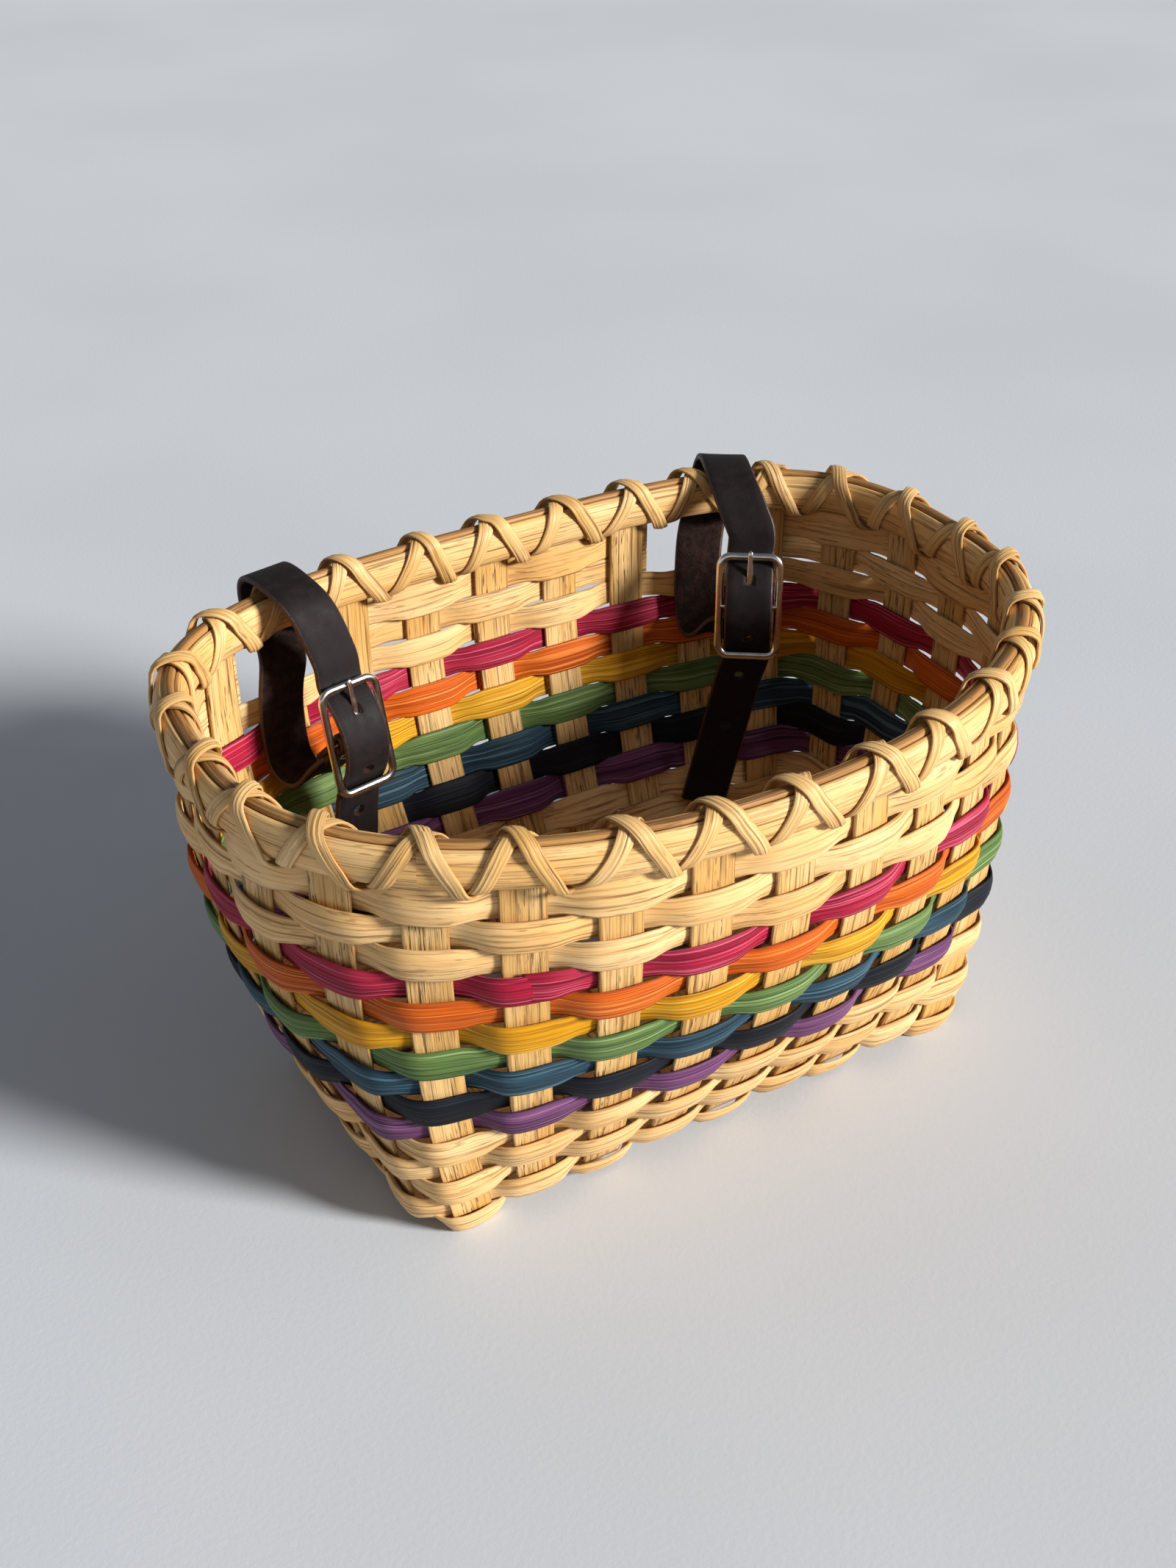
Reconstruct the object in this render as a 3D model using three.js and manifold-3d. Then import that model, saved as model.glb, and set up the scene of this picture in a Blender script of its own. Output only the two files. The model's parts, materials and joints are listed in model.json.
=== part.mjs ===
// Woven reed basket with two buckled leather straps that hang it on a handlebar.
// Millimetres, +Z up. X runs along the basket, +Y points to the back wall with the strap slots,
// and the origin lies on the floor under the middle of the rim.
import * as THREE from 'three';
import Module from 'manifold-3d';
import { mergeVertices } from 'three/addons/utils/BufferGeometryUtils.js';

const wasm = await Module();
wasm.setup();

// Driving dimensions of the reed
const STAKE_WIDTH = 16;
const STAKE_THICKNESS = 1.5;
const ROW_HEIGHT = 10.4;
const ROW_THICKNESS = 2.2;
const LASH_WIDTH = 6.4;
const LASH_THICKNESS = 1;
const WEAVE_GAP = 0.4;
const ROW_SPACING = 1.2;

// Driving dimensions of the base
const CROSS_STAKES = 9;
const LONG_STAKES = 5;
const CROSS_SPACING = 11;
const LONG_SPACING = 6.6;
const BASE_MARGIN = 8.6;
const BASE_RISE = 5;
const BASE_FORWARD = 3.1;
const BASE_RIGHT = 2.5;
const BEND_UP = 7.5;
const FOOT_ROOM = 0.8;
const FOOT_FLAT = 0.8;
const CORNER_TURN = 0.4;
const CORNER_PINCH = 0.9;
const STRETCH_TURN = 0.06;

// Driving dimensions of the rim and wall
const RIM_LENGTH = 327;
const RIM_WIDTH = 221;
const FRONT_ROUNDNESS = 2.05;
const BACK_ROUNDNESS = 3.3;
const WALL_BULGE = 1.19;
const FLARE_LEAD = 0.2;
const RIM_HEIGHT = 17;
const RIM_BAND = 5.5;
const RIM_SHOULDER = 3.2;
const RIM_FLAT = 7.6;
const RIM_GAP = 0.3;
const FILLER_GROOVE = 2;
const FILLER_CROWN = 0.8;
const LASH_GAP = 0.85;

// Driving dimensions of the straps and buckles
const SLOT_STAKE = 3;
const STRAP_WIDTH = 20;
const STRAP_THICKNESS = 2.6;
const STRAP_ROOM = 1;
const REAR_ROOM = 2.8;
const ARCH_FULLNESS = 2.7;
const TAIL_LENGTH = 82;
const TAIL_GAP = 0.3;
const TAIL_BEND = 14;
const TAIL_LEAN = 0.4;
const TAIL_ROOM = 2.2;
const HOLE_DIAMETER = 4.5;
const HOLE_PITCH = 26;
const HOLE_REACH = 11;
const WIRE = 2.5;
const BUCKLE_HEIGHT = 45;
const BUCKLE_CORNER = 4;
const BUCKLE_SIDE_PLAY = 0.7;
const BUCKLE_PLAY = 2.8;
const BUCKLE_INSET = 40;
const BUCKLE_TILT = 0.22;
const FOLD_GAP = 0.3;
const FOLD_SLOPE = 0.785;
const FLAP_REACH = 22;
const TONGUE_WIDTH = 2.6;
const TONGUE_WALL = 1.5;
const TONGUE_TIP = 2.4;
const TONGUE_GAP = 0.33;
const TONGUE_PLAY = 0.8;
const TONGUE_SLIT = 15;
const RIVET_SHANK = 3.4;
const RIVET_HEAD = 8;
const RIVET_HEAD_HEIGHT = 1.4;
const RIVET_REACH = 15;
const RIVET_GAP = 0.3;
const RIVET_MARGIN = 6;

// How each strap hangs: how far along the rim from its slot and how far turned it crosses the rim,
// how far its buckle and its loop hang down, and how far to the right of the crossing its buckle,
// its rise up the wall and its tip are
const STRAPS = [
  { side: 'right', slot: 10.2, turn: 0.378, drop: 34, loop: 57, buckle: 15.2, rear: -7.5, tip: -1.8 },
  { side: 'left', slot: 8.4, turn: 0.06, drop: 43.5, loop: 69, buckle: -1.3, rear: -16, tip: -9 },
];

// Colours of the weaver rows, from the base up
const NATURAL = 0xd8b27a;
const ROW_COLOURS = [
  ['natural', NATURAL],
  ['natural', NATURAL],
  ['natural', NATURAL],
  ['natural', NATURAL],
  ['natural', NATURAL],
  ['plum', 0x6a3f74],
  ['navy', 0x18233f],
  ['teal', 0x35607a],
  ['green', 0x5f8f45],
  ['yellow', 0xd9a520],
  ['orange', 0xdb7a33],
  ['raspberry', 0xb3264f],
  ['natural', NATURAL],
  ['natural', NATURAL],
  ['natural', NATURAL],
];
const SLOTTED_ROWS = 2;
const FILLER_COLOUR = 0xb98a55;
const LASH_COLOUR = 0xc79b60;
const LEATHER = 0x2b1d19;
const NICKEL = 0xc4c6c8;

// Sizes worked out from the driving dimensions
const ROWS = ROW_COLOURS.length;
const ROW_PITCH = ROW_HEIGHT + ROW_SPACING;
const ENDS = 2 * (CROSS_STAKES + LONG_STAKES);
const CROSS_HALF = (CROSS_STAKES - 1) / 2;
const LONG_HALF = (LONG_STAKES - 1) / 2;
const CROSS_PITCH = STAKE_WIDTH + CROSS_SPACING;
const LONG_PITCH = STAKE_WIDTH + LONG_SPACING;
const BASE_X = CROSS_HALF * CROSS_PITCH + STAKE_WIDTH / 2 + BASE_MARGIN;
const BASE_Y = LONG_HALF * LONG_PITCH + STAKE_WIDTH / 2 + BASE_MARGIN;
const FLAT_HALF = STAKE_WIDTH / 2 + WEAVE_GAP;
const ROW_OFFSET = STAKE_THICKNESS / 2 + WEAVE_GAP + ROW_THICKNESS / 2;
const WEAVE_SHIFT = (STAKE_THICKNESS + WEAVE_GAP) / 2;
const FOOT_RISE = BEND_UP + WEAVE_SHIFT;
const FOOT_LENGTH = ROW_HEIGHT + FOOT_ROOM;
const footOut = (rise) => Math.sqrt(FOOT_LENGTH ** 2 - rise ** 2);
const FOOT_DEPTH = (ROW_OFFSET + ROW_THICKNESS / 2) * footOut(FOOT_RISE) - FOOT_ROOM / 2 * FOOT_RISE;
const FOOT_DROP = FOOT_DEPTH / FOOT_LENGTH;
const BASE_HEIGHT = WEAVE_SHIFT + FOOT_DROP - FOOT_FLAT;
const LASH_DEPTH = 2 * LASH_THICKNESS + LASH_GAP + RIM_GAP;
const TOP_ROW_HEIGHT = BASE_HEIGHT + BEND_UP + (ROWS - 1.5) * ROW_PITCH;
const RIM_BOTTOM = TOP_ROW_HEIGHT + ROW_HEIGHT / 2 + LASH_DEPTH + RIM_GAP;
const RIM_TOP = RIM_BOTTOM + RIM_HEIGHT;
const RIM_INSIDE = STAKE_THICKNESS / 2 + RIM_GAP;
const RIM_OUTSIDE = RIM_INSIDE + RIM_BAND;
const RIM_EDGE = RIM_OUTSIDE - RIM_SHOULDER;
const RIM_MIDDLE = (RIM_BOTTOM + RIM_TOP + FILLER_CROWN) / 2;

// Closed skin over a row of rings that all list their points in the same order. The two faces of a strip
// are split along the same diagonal, so that a twisted strip keeps its thickness
function loft(rings, closed = false) {
  const sides = rings[0].length;
  const corners = rings.flat();
  const index = [];
  const spans = closed ? rings.length : rings.length - 1;
  for (let r = 0; r < spans; r += 1) {
    const here = r * sides;
    const next = ((r + 1) % rings.length) * sides;
    for (let s = 0; s < sides; s += 1) {
      const t = (s + 1) % sides;
      const corner = [here + s, here + t, next + t, next + s];
      const order = s < sides / 2 ? [0, 2, 3, 0, 1, 2] : [0, 1, 3, 1, 2, 3];
      index.push(...order.map((c) => corner[c]));
    }
  }
  if (!closed) {
    const last = (rings.length - 1) * sides;
    for (let s = 1; s < sides - 1; s += 1) {
      index.push(0, s + 1, s, last, last + s, last + s + 1);
    }
  }
  let volume = 0;
  const cross = new THREE.Vector3();
  for (let i = 0; i < index.length; i += 3) {
    cross.crossVectors(corners[index[i]], corners[index[i + 1]]);
    volume += cross.dot(corners[index[i + 2]]);
  }
  if (volume < 0) {
    index.reverse();
  }
  const geometry = new THREE.BufferGeometry();
  geometry.setAttribute('position', new THREE.Float32BufferAttribute(corners.flatMap((p) => p.toArray()), 3));
  geometry.setIndex(index);
  return geometry;
}

// Rings of a flat strip along a path, square to the path at every bend
function stripRings(path, across, width, thickness) {
  const sideOf = (i) => {
    const run = path[i + 1].clone().sub(path[i]);
    return run.cross(across[i].clone().add(across[i + 1])).normalize();
  };
  return path.map((point, i) => {
    const before = sideOf(Math.max(i - 1, 0));
    const after = sideOf(Math.min(i, path.length - 2));
    const out = before.clone().add(after).normalize();
    out.multiplyScalar(thickness / 2 / out.dot(after));
    const side = across[i].clone().multiplyScalar(width / 2);
    return [
      point.clone().add(side).add(out),
      point.clone().sub(side).add(out),
      point.clone().sub(side).sub(out),
      point.clone().add(side).sub(out),
    ];
  });
}

// Solid of a closed geometry, for cutting and joining
function solidOf(geometry) {
  const bare = geometry.clone();
  bare.deleteAttribute('normal');
  bare.deleteAttribute('uv');
  const merged = mergeVertices(bare, 1e-4);
  return new wasm.Manifold(new wasm.Mesh({
    numProp: 3,
    vertProperties: new Float32Array(merged.attributes.position.array),
    triVerts: new Uint32Array(merged.index.array),
  }));
}

function geometryOf(solid) {
  const mesh = solid.getMesh();
  const geometry = new THREE.BufferGeometry();
  geometry.setAttribute('position', new THREE.Float32BufferAttribute(mesh.vertProperties, 3));
  geometry.setIndex(Array.from(mesh.triVerts));
  return geometry;
}

function addMesh(parent, name, geometry, colour, roughness, metalness = 0) {
  geometry.computeVertexNormals();
  const material = new THREE.MeshStandardMaterial({ color: colour, roughness, metalness });
  const mesh = new THREE.Mesh(geometry, material);
  mesh.name = name;
  parent.add(mesh);
  return mesh;
}

// Oval plan of the rim: a rounder front half and a squarer back half
class RimPlan extends THREE.Curve {
  getPoint(t, target = new THREE.Vector3()) {
    const angle = 2 * Math.PI * t - Math.PI / 2;
    const c = Math.cos(angle);
    const s = Math.sin(angle);
    const power = 2 / (s < 0 ? FRONT_ROUNDNESS : BACK_ROUNDNESS);
    const x = RIM_LENGTH / 2 * Math.sign(c) * Math.abs(c) ** power;
    const y = RIM_WIDTH / 2 * Math.sign(s) * Math.abs(s) ** power;
    return target.set(x, y, 0);
  }

  // Direction along the rim at a point of it, counter-clockwise from above
  along(point) {
    const grow = (point.y < 0 ? FRONT_ROUNDNESS : BACK_ROUNDNESS) - 1;
    const slope = (value, half) => Math.sign(value) * Math.abs(value / half) ** grow / half;
    return new THREE.Vector3(-slope(point.y, RIM_WIDTH / 2), slope(point.x, RIM_LENGTH / 2), 0).normalize();
  }
}

const rimPlan = new RimPlan();
rimPlan.arcLengthDivisions = 4000;

// The four walls, counter-clockwise from the front: how many stakes each has and where its foot runs
const WALLS = [
  { stakes: CROSS_STAKES, pitch: CROSS_PITCH, reach: BASE_Y, along: [1, 0], out: [0, -1] },
  { stakes: LONG_STAKES, pitch: LONG_PITCH, reach: BASE_X, along: [0, 1], out: [1, 0] },
  { stakes: CROSS_STAKES, pitch: CROSS_PITCH, reach: BASE_Y, along: [-1, 0], out: [0, 1] },
  { stakes: LONG_STAKES, pitch: LONG_PITCH, reach: BASE_X, along: [0, -1], out: [-1, 0] },
];

// Height of the base above its corners: it arches up everywhere between the four feet
function baseLift(x, y) {
  const alongX = Math.min(1, Math.abs(x) / (CROSS_HALF * CROSS_PITCH));
  const alongY = Math.min(1, Math.abs(y) / (LONG_HALF * LONG_PITCH));
  return BASE_RISE * (1 - (alongX * alongY) ** 2);
}

// Height of the cross stake where it crosses a long stake, against the base's middle:
// the long stake lies as far on the other side
function baseWeave(i, j) {
  return (i + j) % 2 === 0 ? -WEAVE_SHIFT : WEAVE_SHIFT;
}

// Every stake end, numbered counter-clockwise from the front left corner
const stakeEnds = WALLS.flatMap((wall) => Array.from({ length: wall.stakes }, (_, m) => {
  const place = m - (wall.stakes - 1) / 2;
  const along = new THREE.Vector3(...wall.along, 0);
  const out = new THREE.Vector3(...wall.out, 0);
  const foot = along.clone().multiplyScalar(place * wall.pitch).addScaledVector(out, wall.reach);
  const weave = wall.out[0] === 0 ? baseWeave(place, LONG_HALF) : -baseWeave(CROSS_HALF, place);
  return { along, out, foot, weave, lift: baseLift(foot.x, foot.y) };
}));
stakeEnds.forEach((end, k) => {
  end.foot.add(new THREE.Vector3(BASE_RIGHT, -BASE_FORWARD, 0));
  end.rim = rimPlan.getPointAt(((k - CROSS_HALF) / ENDS + 1) % 1);
  end.rimAlong = rimPlan.along(end.rim);
});

// A stake's place on the wall at a level counted in rows: it flares fast above the base, then stands upright
function wallPoint(end, level) {
  const share = Math.min(1, (level + FLARE_LEAD) / (ROWS - 1 + FLARE_LEAD));
  const flare = share + WALL_BULGE * share * (1 - share);
  const point = end.foot.clone().lerp(end.rim, flare);
  const fade = Math.max(0, 1 - (level - 0.5) / (ROWS - 1));
  point.z = BASE_HEIGHT + BEND_UP + (level - 0.5) * ROW_PITCH + end.lift * fade;
  const along = end.along.clone().lerp(end.rimAlong, share).normalize();
  return { point, along };
}

// Knots of a stake end from the base up: the bend, past the edge of its last crossing in the base,
// then one straight stretch for every two rows
stakeEnds.forEach((end) => {
  const bend = wallPoint(end, 0.5);
  const footReach = end.foot.dot(end.out);
  const lastCrossing = footReach - BASE_MARGIN + 2 * WEAVE_GAP;
  const reach = Math.max(lastCrossing, bend.point.dot(end.out) - footOut(BEND_UP - end.weave));
  const start = end.foot.clone().addScaledVector(end.out, reach - footReach);
  start.z = bend.point.z - BEND_UP + end.weave;
  end.knots = [{ level: -0.5, point: start, along: end.along }];
  for (let level = 0.5; level <= ROWS - 0.5; level += 2) {
    end.knots.push({ level, ...wallPoint(end, level) });
  }
});

// Where row number row crosses stake end k, a step to the side of the stake's middle: a point of the stake,
// along the row, up the stake and outwards
function crossing(k, row, step) {
  const knots = stakeEnds[k].knots;
  const upper = knots.findIndex((knot) => knot.level > row);
  const a = knots[upper - 1];
  const b = knots[upper];
  const share = (row - a.level) / (b.level - a.level);
  const low = a.point.clone().addScaledVector(a.along, step);
  const high = b.point.clone().addScaledVector(b.along, step);
  const along = a.along.clone().lerp(b.along, share).normalize();
  const up = high.clone().sub(low).normalize();
  const out = along.clone().cross(up).normalize();
  return { point: low.lerp(high, share), along, up, out };
}

const basket = new THREE.Group();
const reed = (name, geometry, colour = NATURAL) => addMesh(basket, name, geometry, colour, 0.6);

// Stakes
const BACK_FIRST = CROSS_STAKES + LONG_STAKES;
const LEFT_FIRST = BACK_FIRST + CROSS_STAKES;
const STAKE_TOP = RIM_TOP - FILLER_GROOVE - RIM_GAP;
const slotEnds = [BACK_FIRST + CROSS_HALF - SLOT_STAKE, BACK_FIRST + CROSS_HALF + SLOT_STAKE];

// Points of a stake end from the base to its top, and the direction across the strip at each
function wallRun(k, flip) {
  const end = stakeEnds[k];
  const short = slotEnds.includes(k);
  const knots = end.knots.filter((knot) => !short || knot.level < ROWS - SLOTTED_ROWS);
  const path = [];
  const across = [];
  knots.forEach((knot, m) => {
    const next = knots[m + 1] ?? knot;
    const steps = Math.max(1, Math.ceil(knot.along.angleTo(next.along) / STRETCH_TURN));
    for (let step = 0; step < steps; step += 1) {
      path.push(knot.point.clone().lerp(next.point, step / steps));
      across.push(knot.along.clone().lerp(next.along, step / steps).multiplyScalar(flip));
    }
  });
  if (!short) {
    path.push(new THREE.Vector3(end.rim.x, end.rim.y, STAKE_TOP));
    across.push(end.rimAlong.clone().multiplyScalar(flip));
  }
  return { path, across };
}

function stake(first, last, firstFlip, middle, across) {
  const a = wallRun(first, firstFlip);
  const b = wallRun(last, -firstFlip);
  const path = [...a.path.reverse(), ...middle, ...b.path];
  const sides = [...a.across.reverse(), ...middle.map(() => across), ...b.across];
  return loft(stripRings(path, sides, STAKE_WIDTH, STAKE_THICKNESS));
}

// The stretch of a stake in the base: level over every crossing, one step up or down in between
function baseRun(count, weaveAt, pointAt) {
  return Array.from({ length: count }, (_, c) => c - (count - 1) / 2).flatMap((c) => {
    const z = BASE_HEIGHT + weaveAt(c);
    return [-FLAT_HALF, FLAT_HALF].map((step) => pointAt(c, step, z));
  });
}

for (let m = 0; m < CROSS_STAKES; m += 1) {
  const i = m - CROSS_HALF;
  const x = i * CROSS_PITCH;
  const middle = baseRun(
    LONG_STAKES,
    (j) => baseLift(x, j * LONG_PITCH) + baseWeave(i, j),
    (j, step, z) => new THREE.Vector3(x + BASE_RIGHT, j * LONG_PITCH + step - BASE_FORWARD, z),
  );
  const back = BACK_FIRST + CROSS_STAKES - 1 - m;
  reed(`cross_stake_${m + 1}`, stake(m, back, 1, middle, new THREE.Vector3(1, 0, 0)));
}
for (let m = 0; m < LONG_STAKES; m += 1) {
  const j = m - LONG_HALF;
  const y = j * LONG_PITCH;
  const middle = baseRun(
    CROSS_STAKES,
    (i) => baseLift(i * CROSS_PITCH, y) - baseWeave(i, j),
    (i, step, z) => new THREE.Vector3(i * CROSS_PITCH + step + BASE_RIGHT, y - BASE_FORWARD, z),
  );
  const left = LEFT_FIRST + LONG_STAKES - 1 - m;
  reed(`long_stake_${m + 1}`, stake(left, CROSS_STAKES + m, 1, middle, new THREE.Vector3(0, -1, 0)));
}

// Places on the bend of a row from one stake to the next, where the two stand at an angle:
// the reed is pinched there
function cornerPlaces(a, b) {
  const count = Math.floor(a.along.angleTo(b.along) / CORNER_TURN);
  const chord = a.point.distanceTo(b.point);
  return Array.from({ length: count }, (_, m) => {
    const t = (m + 1) / (count + 1);
    const point = a.point.clone().lerp(b.point, t * t * (3 - 2 * t))
      .addScaledVector(a.along, chord * t * (1 - t) ** 2)
      .addScaledVector(b.along, -chord * t * t * (1 - t));
    const along = a.along.clone().lerp(b.along, t).normalize();
    const up = a.up.clone().lerp(b.up, t).multiplyScalar(CORNER_PINCH);
    return { point, up, out: along.cross(up).normalize() };
  });
}

// Weaver rows: straight over every stake, crossing from one face of the wall to the other in between
function rowRings(row, ends, sideAt, closed) {
  const places = ends.flatMap((k) => [-FLAT_HALF, FLAT_HALF].map((step) => {
    const place = crossing(k, row, step);
    place.point.addScaledVector(place.out, sideAt(k) * ROW_OFFSET);
    return place;
  }));
  const rounded = places.flatMap((place, m) => {
    const next = closed ? places[(m + 1) % places.length] : places[m + 1];
    return next ? [place, ...cornerPlaces(place, next)] : [place];
  });
  return rounded.map(({ point, up, out }) => {
    const corner = (u, o) => point.clone()
      .addScaledVector(up, u * ROW_HEIGHT / 2).addScaledVector(out, o * ROW_THICKNESS / 2);
    return [corner(1, 1), corner(1, -1), corner(-1, -1), corner(-1, 1)];
  });
}

function between(from, to) {
  const count = (to - from + ENDS) % ENDS + 1;
  return Array.from({ length: count }, (_, m) => (from + m) % ENDS);
}

const floorCut = new THREE.BoxGeometry(RIM_LENGTH, RIM_WIDTH, ROW_HEIGHT).translate(0, 0, -ROW_HEIGHT / 2);
ROW_COLOURS.forEach(([colourName, colour], row) => {
  const name = `weaver_${String(row + 1).padStart(2, '0')}_${colourName}`;
  const weave = (k) => ((k + row) % 2 === 0 ? 1 : -1);
  if (row < ROWS - SLOTTED_ROWS) {
    const ring = loft(rowRings(row, between(0, ENDS - 1), weave, true), true);
    reed(name, row === 0 ? geometryOf(solidOf(ring).subtract(solidOf(floorCut))) : ring, colour);
    return;
  }
  const stops = slotEnds.flatMap((k) => [k - 1, k + 1]);
  const side = (k) => (stops.includes(k) ? 1 : weave(k));
  reed(`${name}_front`, loft(rowRings(row, between(stops[3], stops[0]), side, false)), colour);
  reed(`${name}_back`, loft(rowRings(row, between(stops[1], stops[2]), side, false)), colour);
});

// Rim: every stake end gives two corners of the ring, straight across the stake
const rimCorners = stakeEnds.flatMap((end) => [-FLAT_HALF, FLAT_HALF].map((s) => ({
  point: end.rim.clone().addScaledVector(end.rimAlong, s),
  out: new THREE.Vector3(end.rimAlong.y, -end.rimAlong.x, 0),
})));

function rimRing(profile) {
  return loft(rimCorners.map(({ point, out }) => profile.map(([n, z]) => {
    const corner = point.clone().addScaledVector(out, n);
    corner.z = z;
    return corner;
  })), true);
}

const RIM_CENTRE = (RIM_BOTTOM + RIM_TOP) / 2;
const bandProfile = (side) => [
  [side * RIM_INSIDE, RIM_BOTTOM],
  [side * RIM_EDGE, RIM_BOTTOM],
  [side * RIM_OUTSIDE, RIM_CENTRE - RIM_FLAT / 2],
  [side * RIM_OUTSIDE, RIM_CENTRE + RIM_FLAT / 2],
  [side * RIM_EDGE, RIM_TOP],
  [side * (RIM_INSIDE + FILLER_GROOVE), RIM_TOP],
  [side * RIM_INSIDE, RIM_TOP - FILLER_GROOVE],
];
reed('outer_rim', rimRing(bandProfile(1)));
reed('inner_rim', rimRing(bandProfile(-1)));
const FILLER_SIDE = RIM_INSIDE + FILLER_GROOVE - 1.5 * RIM_GAP;
reed('rim_filler', rimRing([
  [-RIM_INSIDE / 2, RIM_TOP - FILLER_GROOVE + RIM_GAP / 2],
  [RIM_INSIDE / 2, RIM_TOP - FILLER_GROOVE + RIM_GAP / 2],
  [FILLER_SIDE, RIM_TOP],
  [FILLER_SIDE - FILLER_CROWN / 2, RIM_TOP + FILLER_CROWN],
  [-FILLER_SIDE + FILLER_CROWN / 2, RIM_TOP + FILLER_CROWN],
  [-FILLER_SIDE, RIM_TOP],
]), FILLER_COLOUR);

// Point beside the rim, at a place counted in stakes from the front left corner
function rimAt(place, n, z) {
  const k = Math.round(place);
  const end = (m) => stakeEnds[THREE.MathUtils.euclideanModulo(m, ENDS)];
  const corner = (m) => rimCorners[THREE.MathUtils.euclideanModulo(m, 2 * ENDS)];
  const gap = end(k).rim.distanceTo(end(place < k ? k - 1 : k + 1).rim);
  const reach = FLAT_HALF / gap;
  let share = (place - k + reach) / (2 * reach);
  let first = 2 * k;
  if (share > 1) {
    share = (place - k - reach) / (1 - 2 * reach);
    first = 2 * k + 1;
  } else if (share < 0) {
    share = 1 + (place - k + reach) / (1 - 2 * reach);
    first = 2 * k - 1;
  }
  const a = corner(first);
  const b = corner(first + 1);
  const before = a.point.clone().addScaledVector(a.out, n);
  const after = b.point.clone().addScaledVector(b.out, n);
  const point = before.lerp(after, share);
  point.z = z;
  return point;
}

// Lashing: a strip that winds once round the rim for every stake, crossing its twin above each stake
function lashing(turn, layer) {
  const inner = LASH_GAP + layer * (LASH_THICKNESS + RIM_GAP);
  const outline = (offset) => {
    const top = RIM_TOP + FILLER_CROWN + offset;
    const bottom = RIM_BOTTOM - offset;
    const half = [
      [RIM_EDGE + offset / 2, top],
      [RIM_OUTSIDE + offset, RIM_CENTRE + RIM_FLAT / 2],
      [RIM_OUTSIDE + offset, RIM_CENTRE - RIM_FLAT / 2],
      [RIM_EDGE + offset / 2, bottom],
    ];
    return [...half, ...half.map(([n, z]) => [-n, z]).reverse()];
  };
  const near = outline(inner);
  const far = outline(inner + LASH_THICKNESS);
  const lengths = near.map(([n, z], c) => {
    const [lastN, lastZ] = near[(c + near.length - 1) % near.length];
    return Math.hypot(n - lastN, z - lastZ);
  });
  const around = lengths.reduce((sum, length) => sum + length, 0);
  const pitch = rimPlan.getLength() / ENDS;
  const halfWidth = LASH_WIDTH / 2 / pitch * Math.hypot(1, pitch / around);
  const rings = [];
  for (let m = 0; m < ENDS; m += 1) {
    let run = -lengths[0] / 2;
    near.forEach(([n, z], c) => {
      run += lengths[c];
      const place = turn * (m + run / around);
      rings.push([
        rimAt(place - halfWidth, n, z),
        rimAt(place + halfWidth, n, z),
        rimAt(place + halfWidth, ...far[c]),
        rimAt(place - halfWidth, ...far[c]),
      ]);
    });
  }
  return loft(rings, true);
}

reed('lashing_right', lashing(1, 0), LASH_COLOUR);
reed('lashing_left', lashing(-1, 1), LASH_COLOUR);

// Straps: each hangs in a group of its own whose origin is the middle of the rim over the slot,
// with x along the rim, y outwards and z up
const UP = new THREE.Vector3(0, 0, 1);
const STRAP_HALF = STRAP_THICKNESS / 2;
const BAR_REACH = BUCKLE_HEIGHT / 2 - WIRE / 2;
const BEHIND_BAR = WIRE / 2 + BUCKLE_PLAY + STRAP_HALF;
const FOLD_RADIUS = WIRE / 2 + FOLD_GAP + STRAP_HALF;
const LAYER_HALF = STRAP_HALF + FOLD_GAP / 2;
const FRONT_BULGE = FOLD_RADIUS + FOLD_GAP + STRAP_THICKNESS;
const TONGUE_BORE = WIRE / 2 + FOLD_GAP;

// How far inside the wall's middle a turned strap clears the wall by a room, at a place along x
function wallInset(turn, x, room) {
  const wall = ROW_OFFSET + ROW_THICKNESS / 2 + room + STRAP_HALF;
  return (wall + (STRAP_WIDTH / 2 - x) * Math.sin(turn)) / Math.cos(turn);
}

// Sizes of a strap that is turned against the rim: the radius of its loop round the rim, wide enough to swing
// right over it, and how far inside the rim's middle it rises along the wall
function strapSizes({ turn, rear }) {
  const reach = RIM_OUTSIDE + STRAP_WIDTH / 2 * Math.tan(turn);
  const height = RIM_TOP + FILLER_CROWN - RIM_MIDDLE;
  return {
    radius: Math.max(reach, height) + LASH_DEPTH + STRAP_ROOM + STRAP_HALF,
    inset: wallInset(turn, rear, REAR_ROOM),
  };
}

// Point of the strap's side view, as [y, z], from a point of the buckle: up along it, front towards
// the inside
const fromBuckle = ({ drop }) => (up, front) => {
  const sin = Math.sin(BUCKLE_TILT);
  const cos = Math.cos(BUCKLE_TILT);
  return [-BUCKLE_INSET + up * sin - front * cos, -drop + up * cos + front * sin];
};

// The same from a point of the folded end: reach away from the bar, side towards the rim
const fromFold = ({ drop }) => (reach, side) => {
  const sin = Math.sin(FOLD_SLOPE);
  const cos = Math.cos(FOLD_SLOPE);
  return [-BUCKLE_INSET + reach * cos + side * sin, -drop - reach * sin + side * cos];
};

function arc(radius, from, to, steps, place) {
  return Array.from({ length: steps + 1 }, (_, m) => {
    const angle = THREE.MathUtils.degToRad(from + (to - from) * m / steps);
    return place(radius * Math.cos(angle), radius * Math.sin(angle));
  });
}

// Smooth path through points given as [x, y, z]
function smooth(points, steps) {
  return new THREE.CatmullRomCurve3(points.map((p) => new THREE.Vector3(...p))).getPoints(steps);
}

// Leather strip along a path, with its width along x
function strip(path) {
  const across = path.map(() => new THREE.Vector3(1, 0, 0));
  return solidOf(loft(stripRings(path, across, STRAP_WIDTH, STRAP_THICKNESS)));
}

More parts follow.
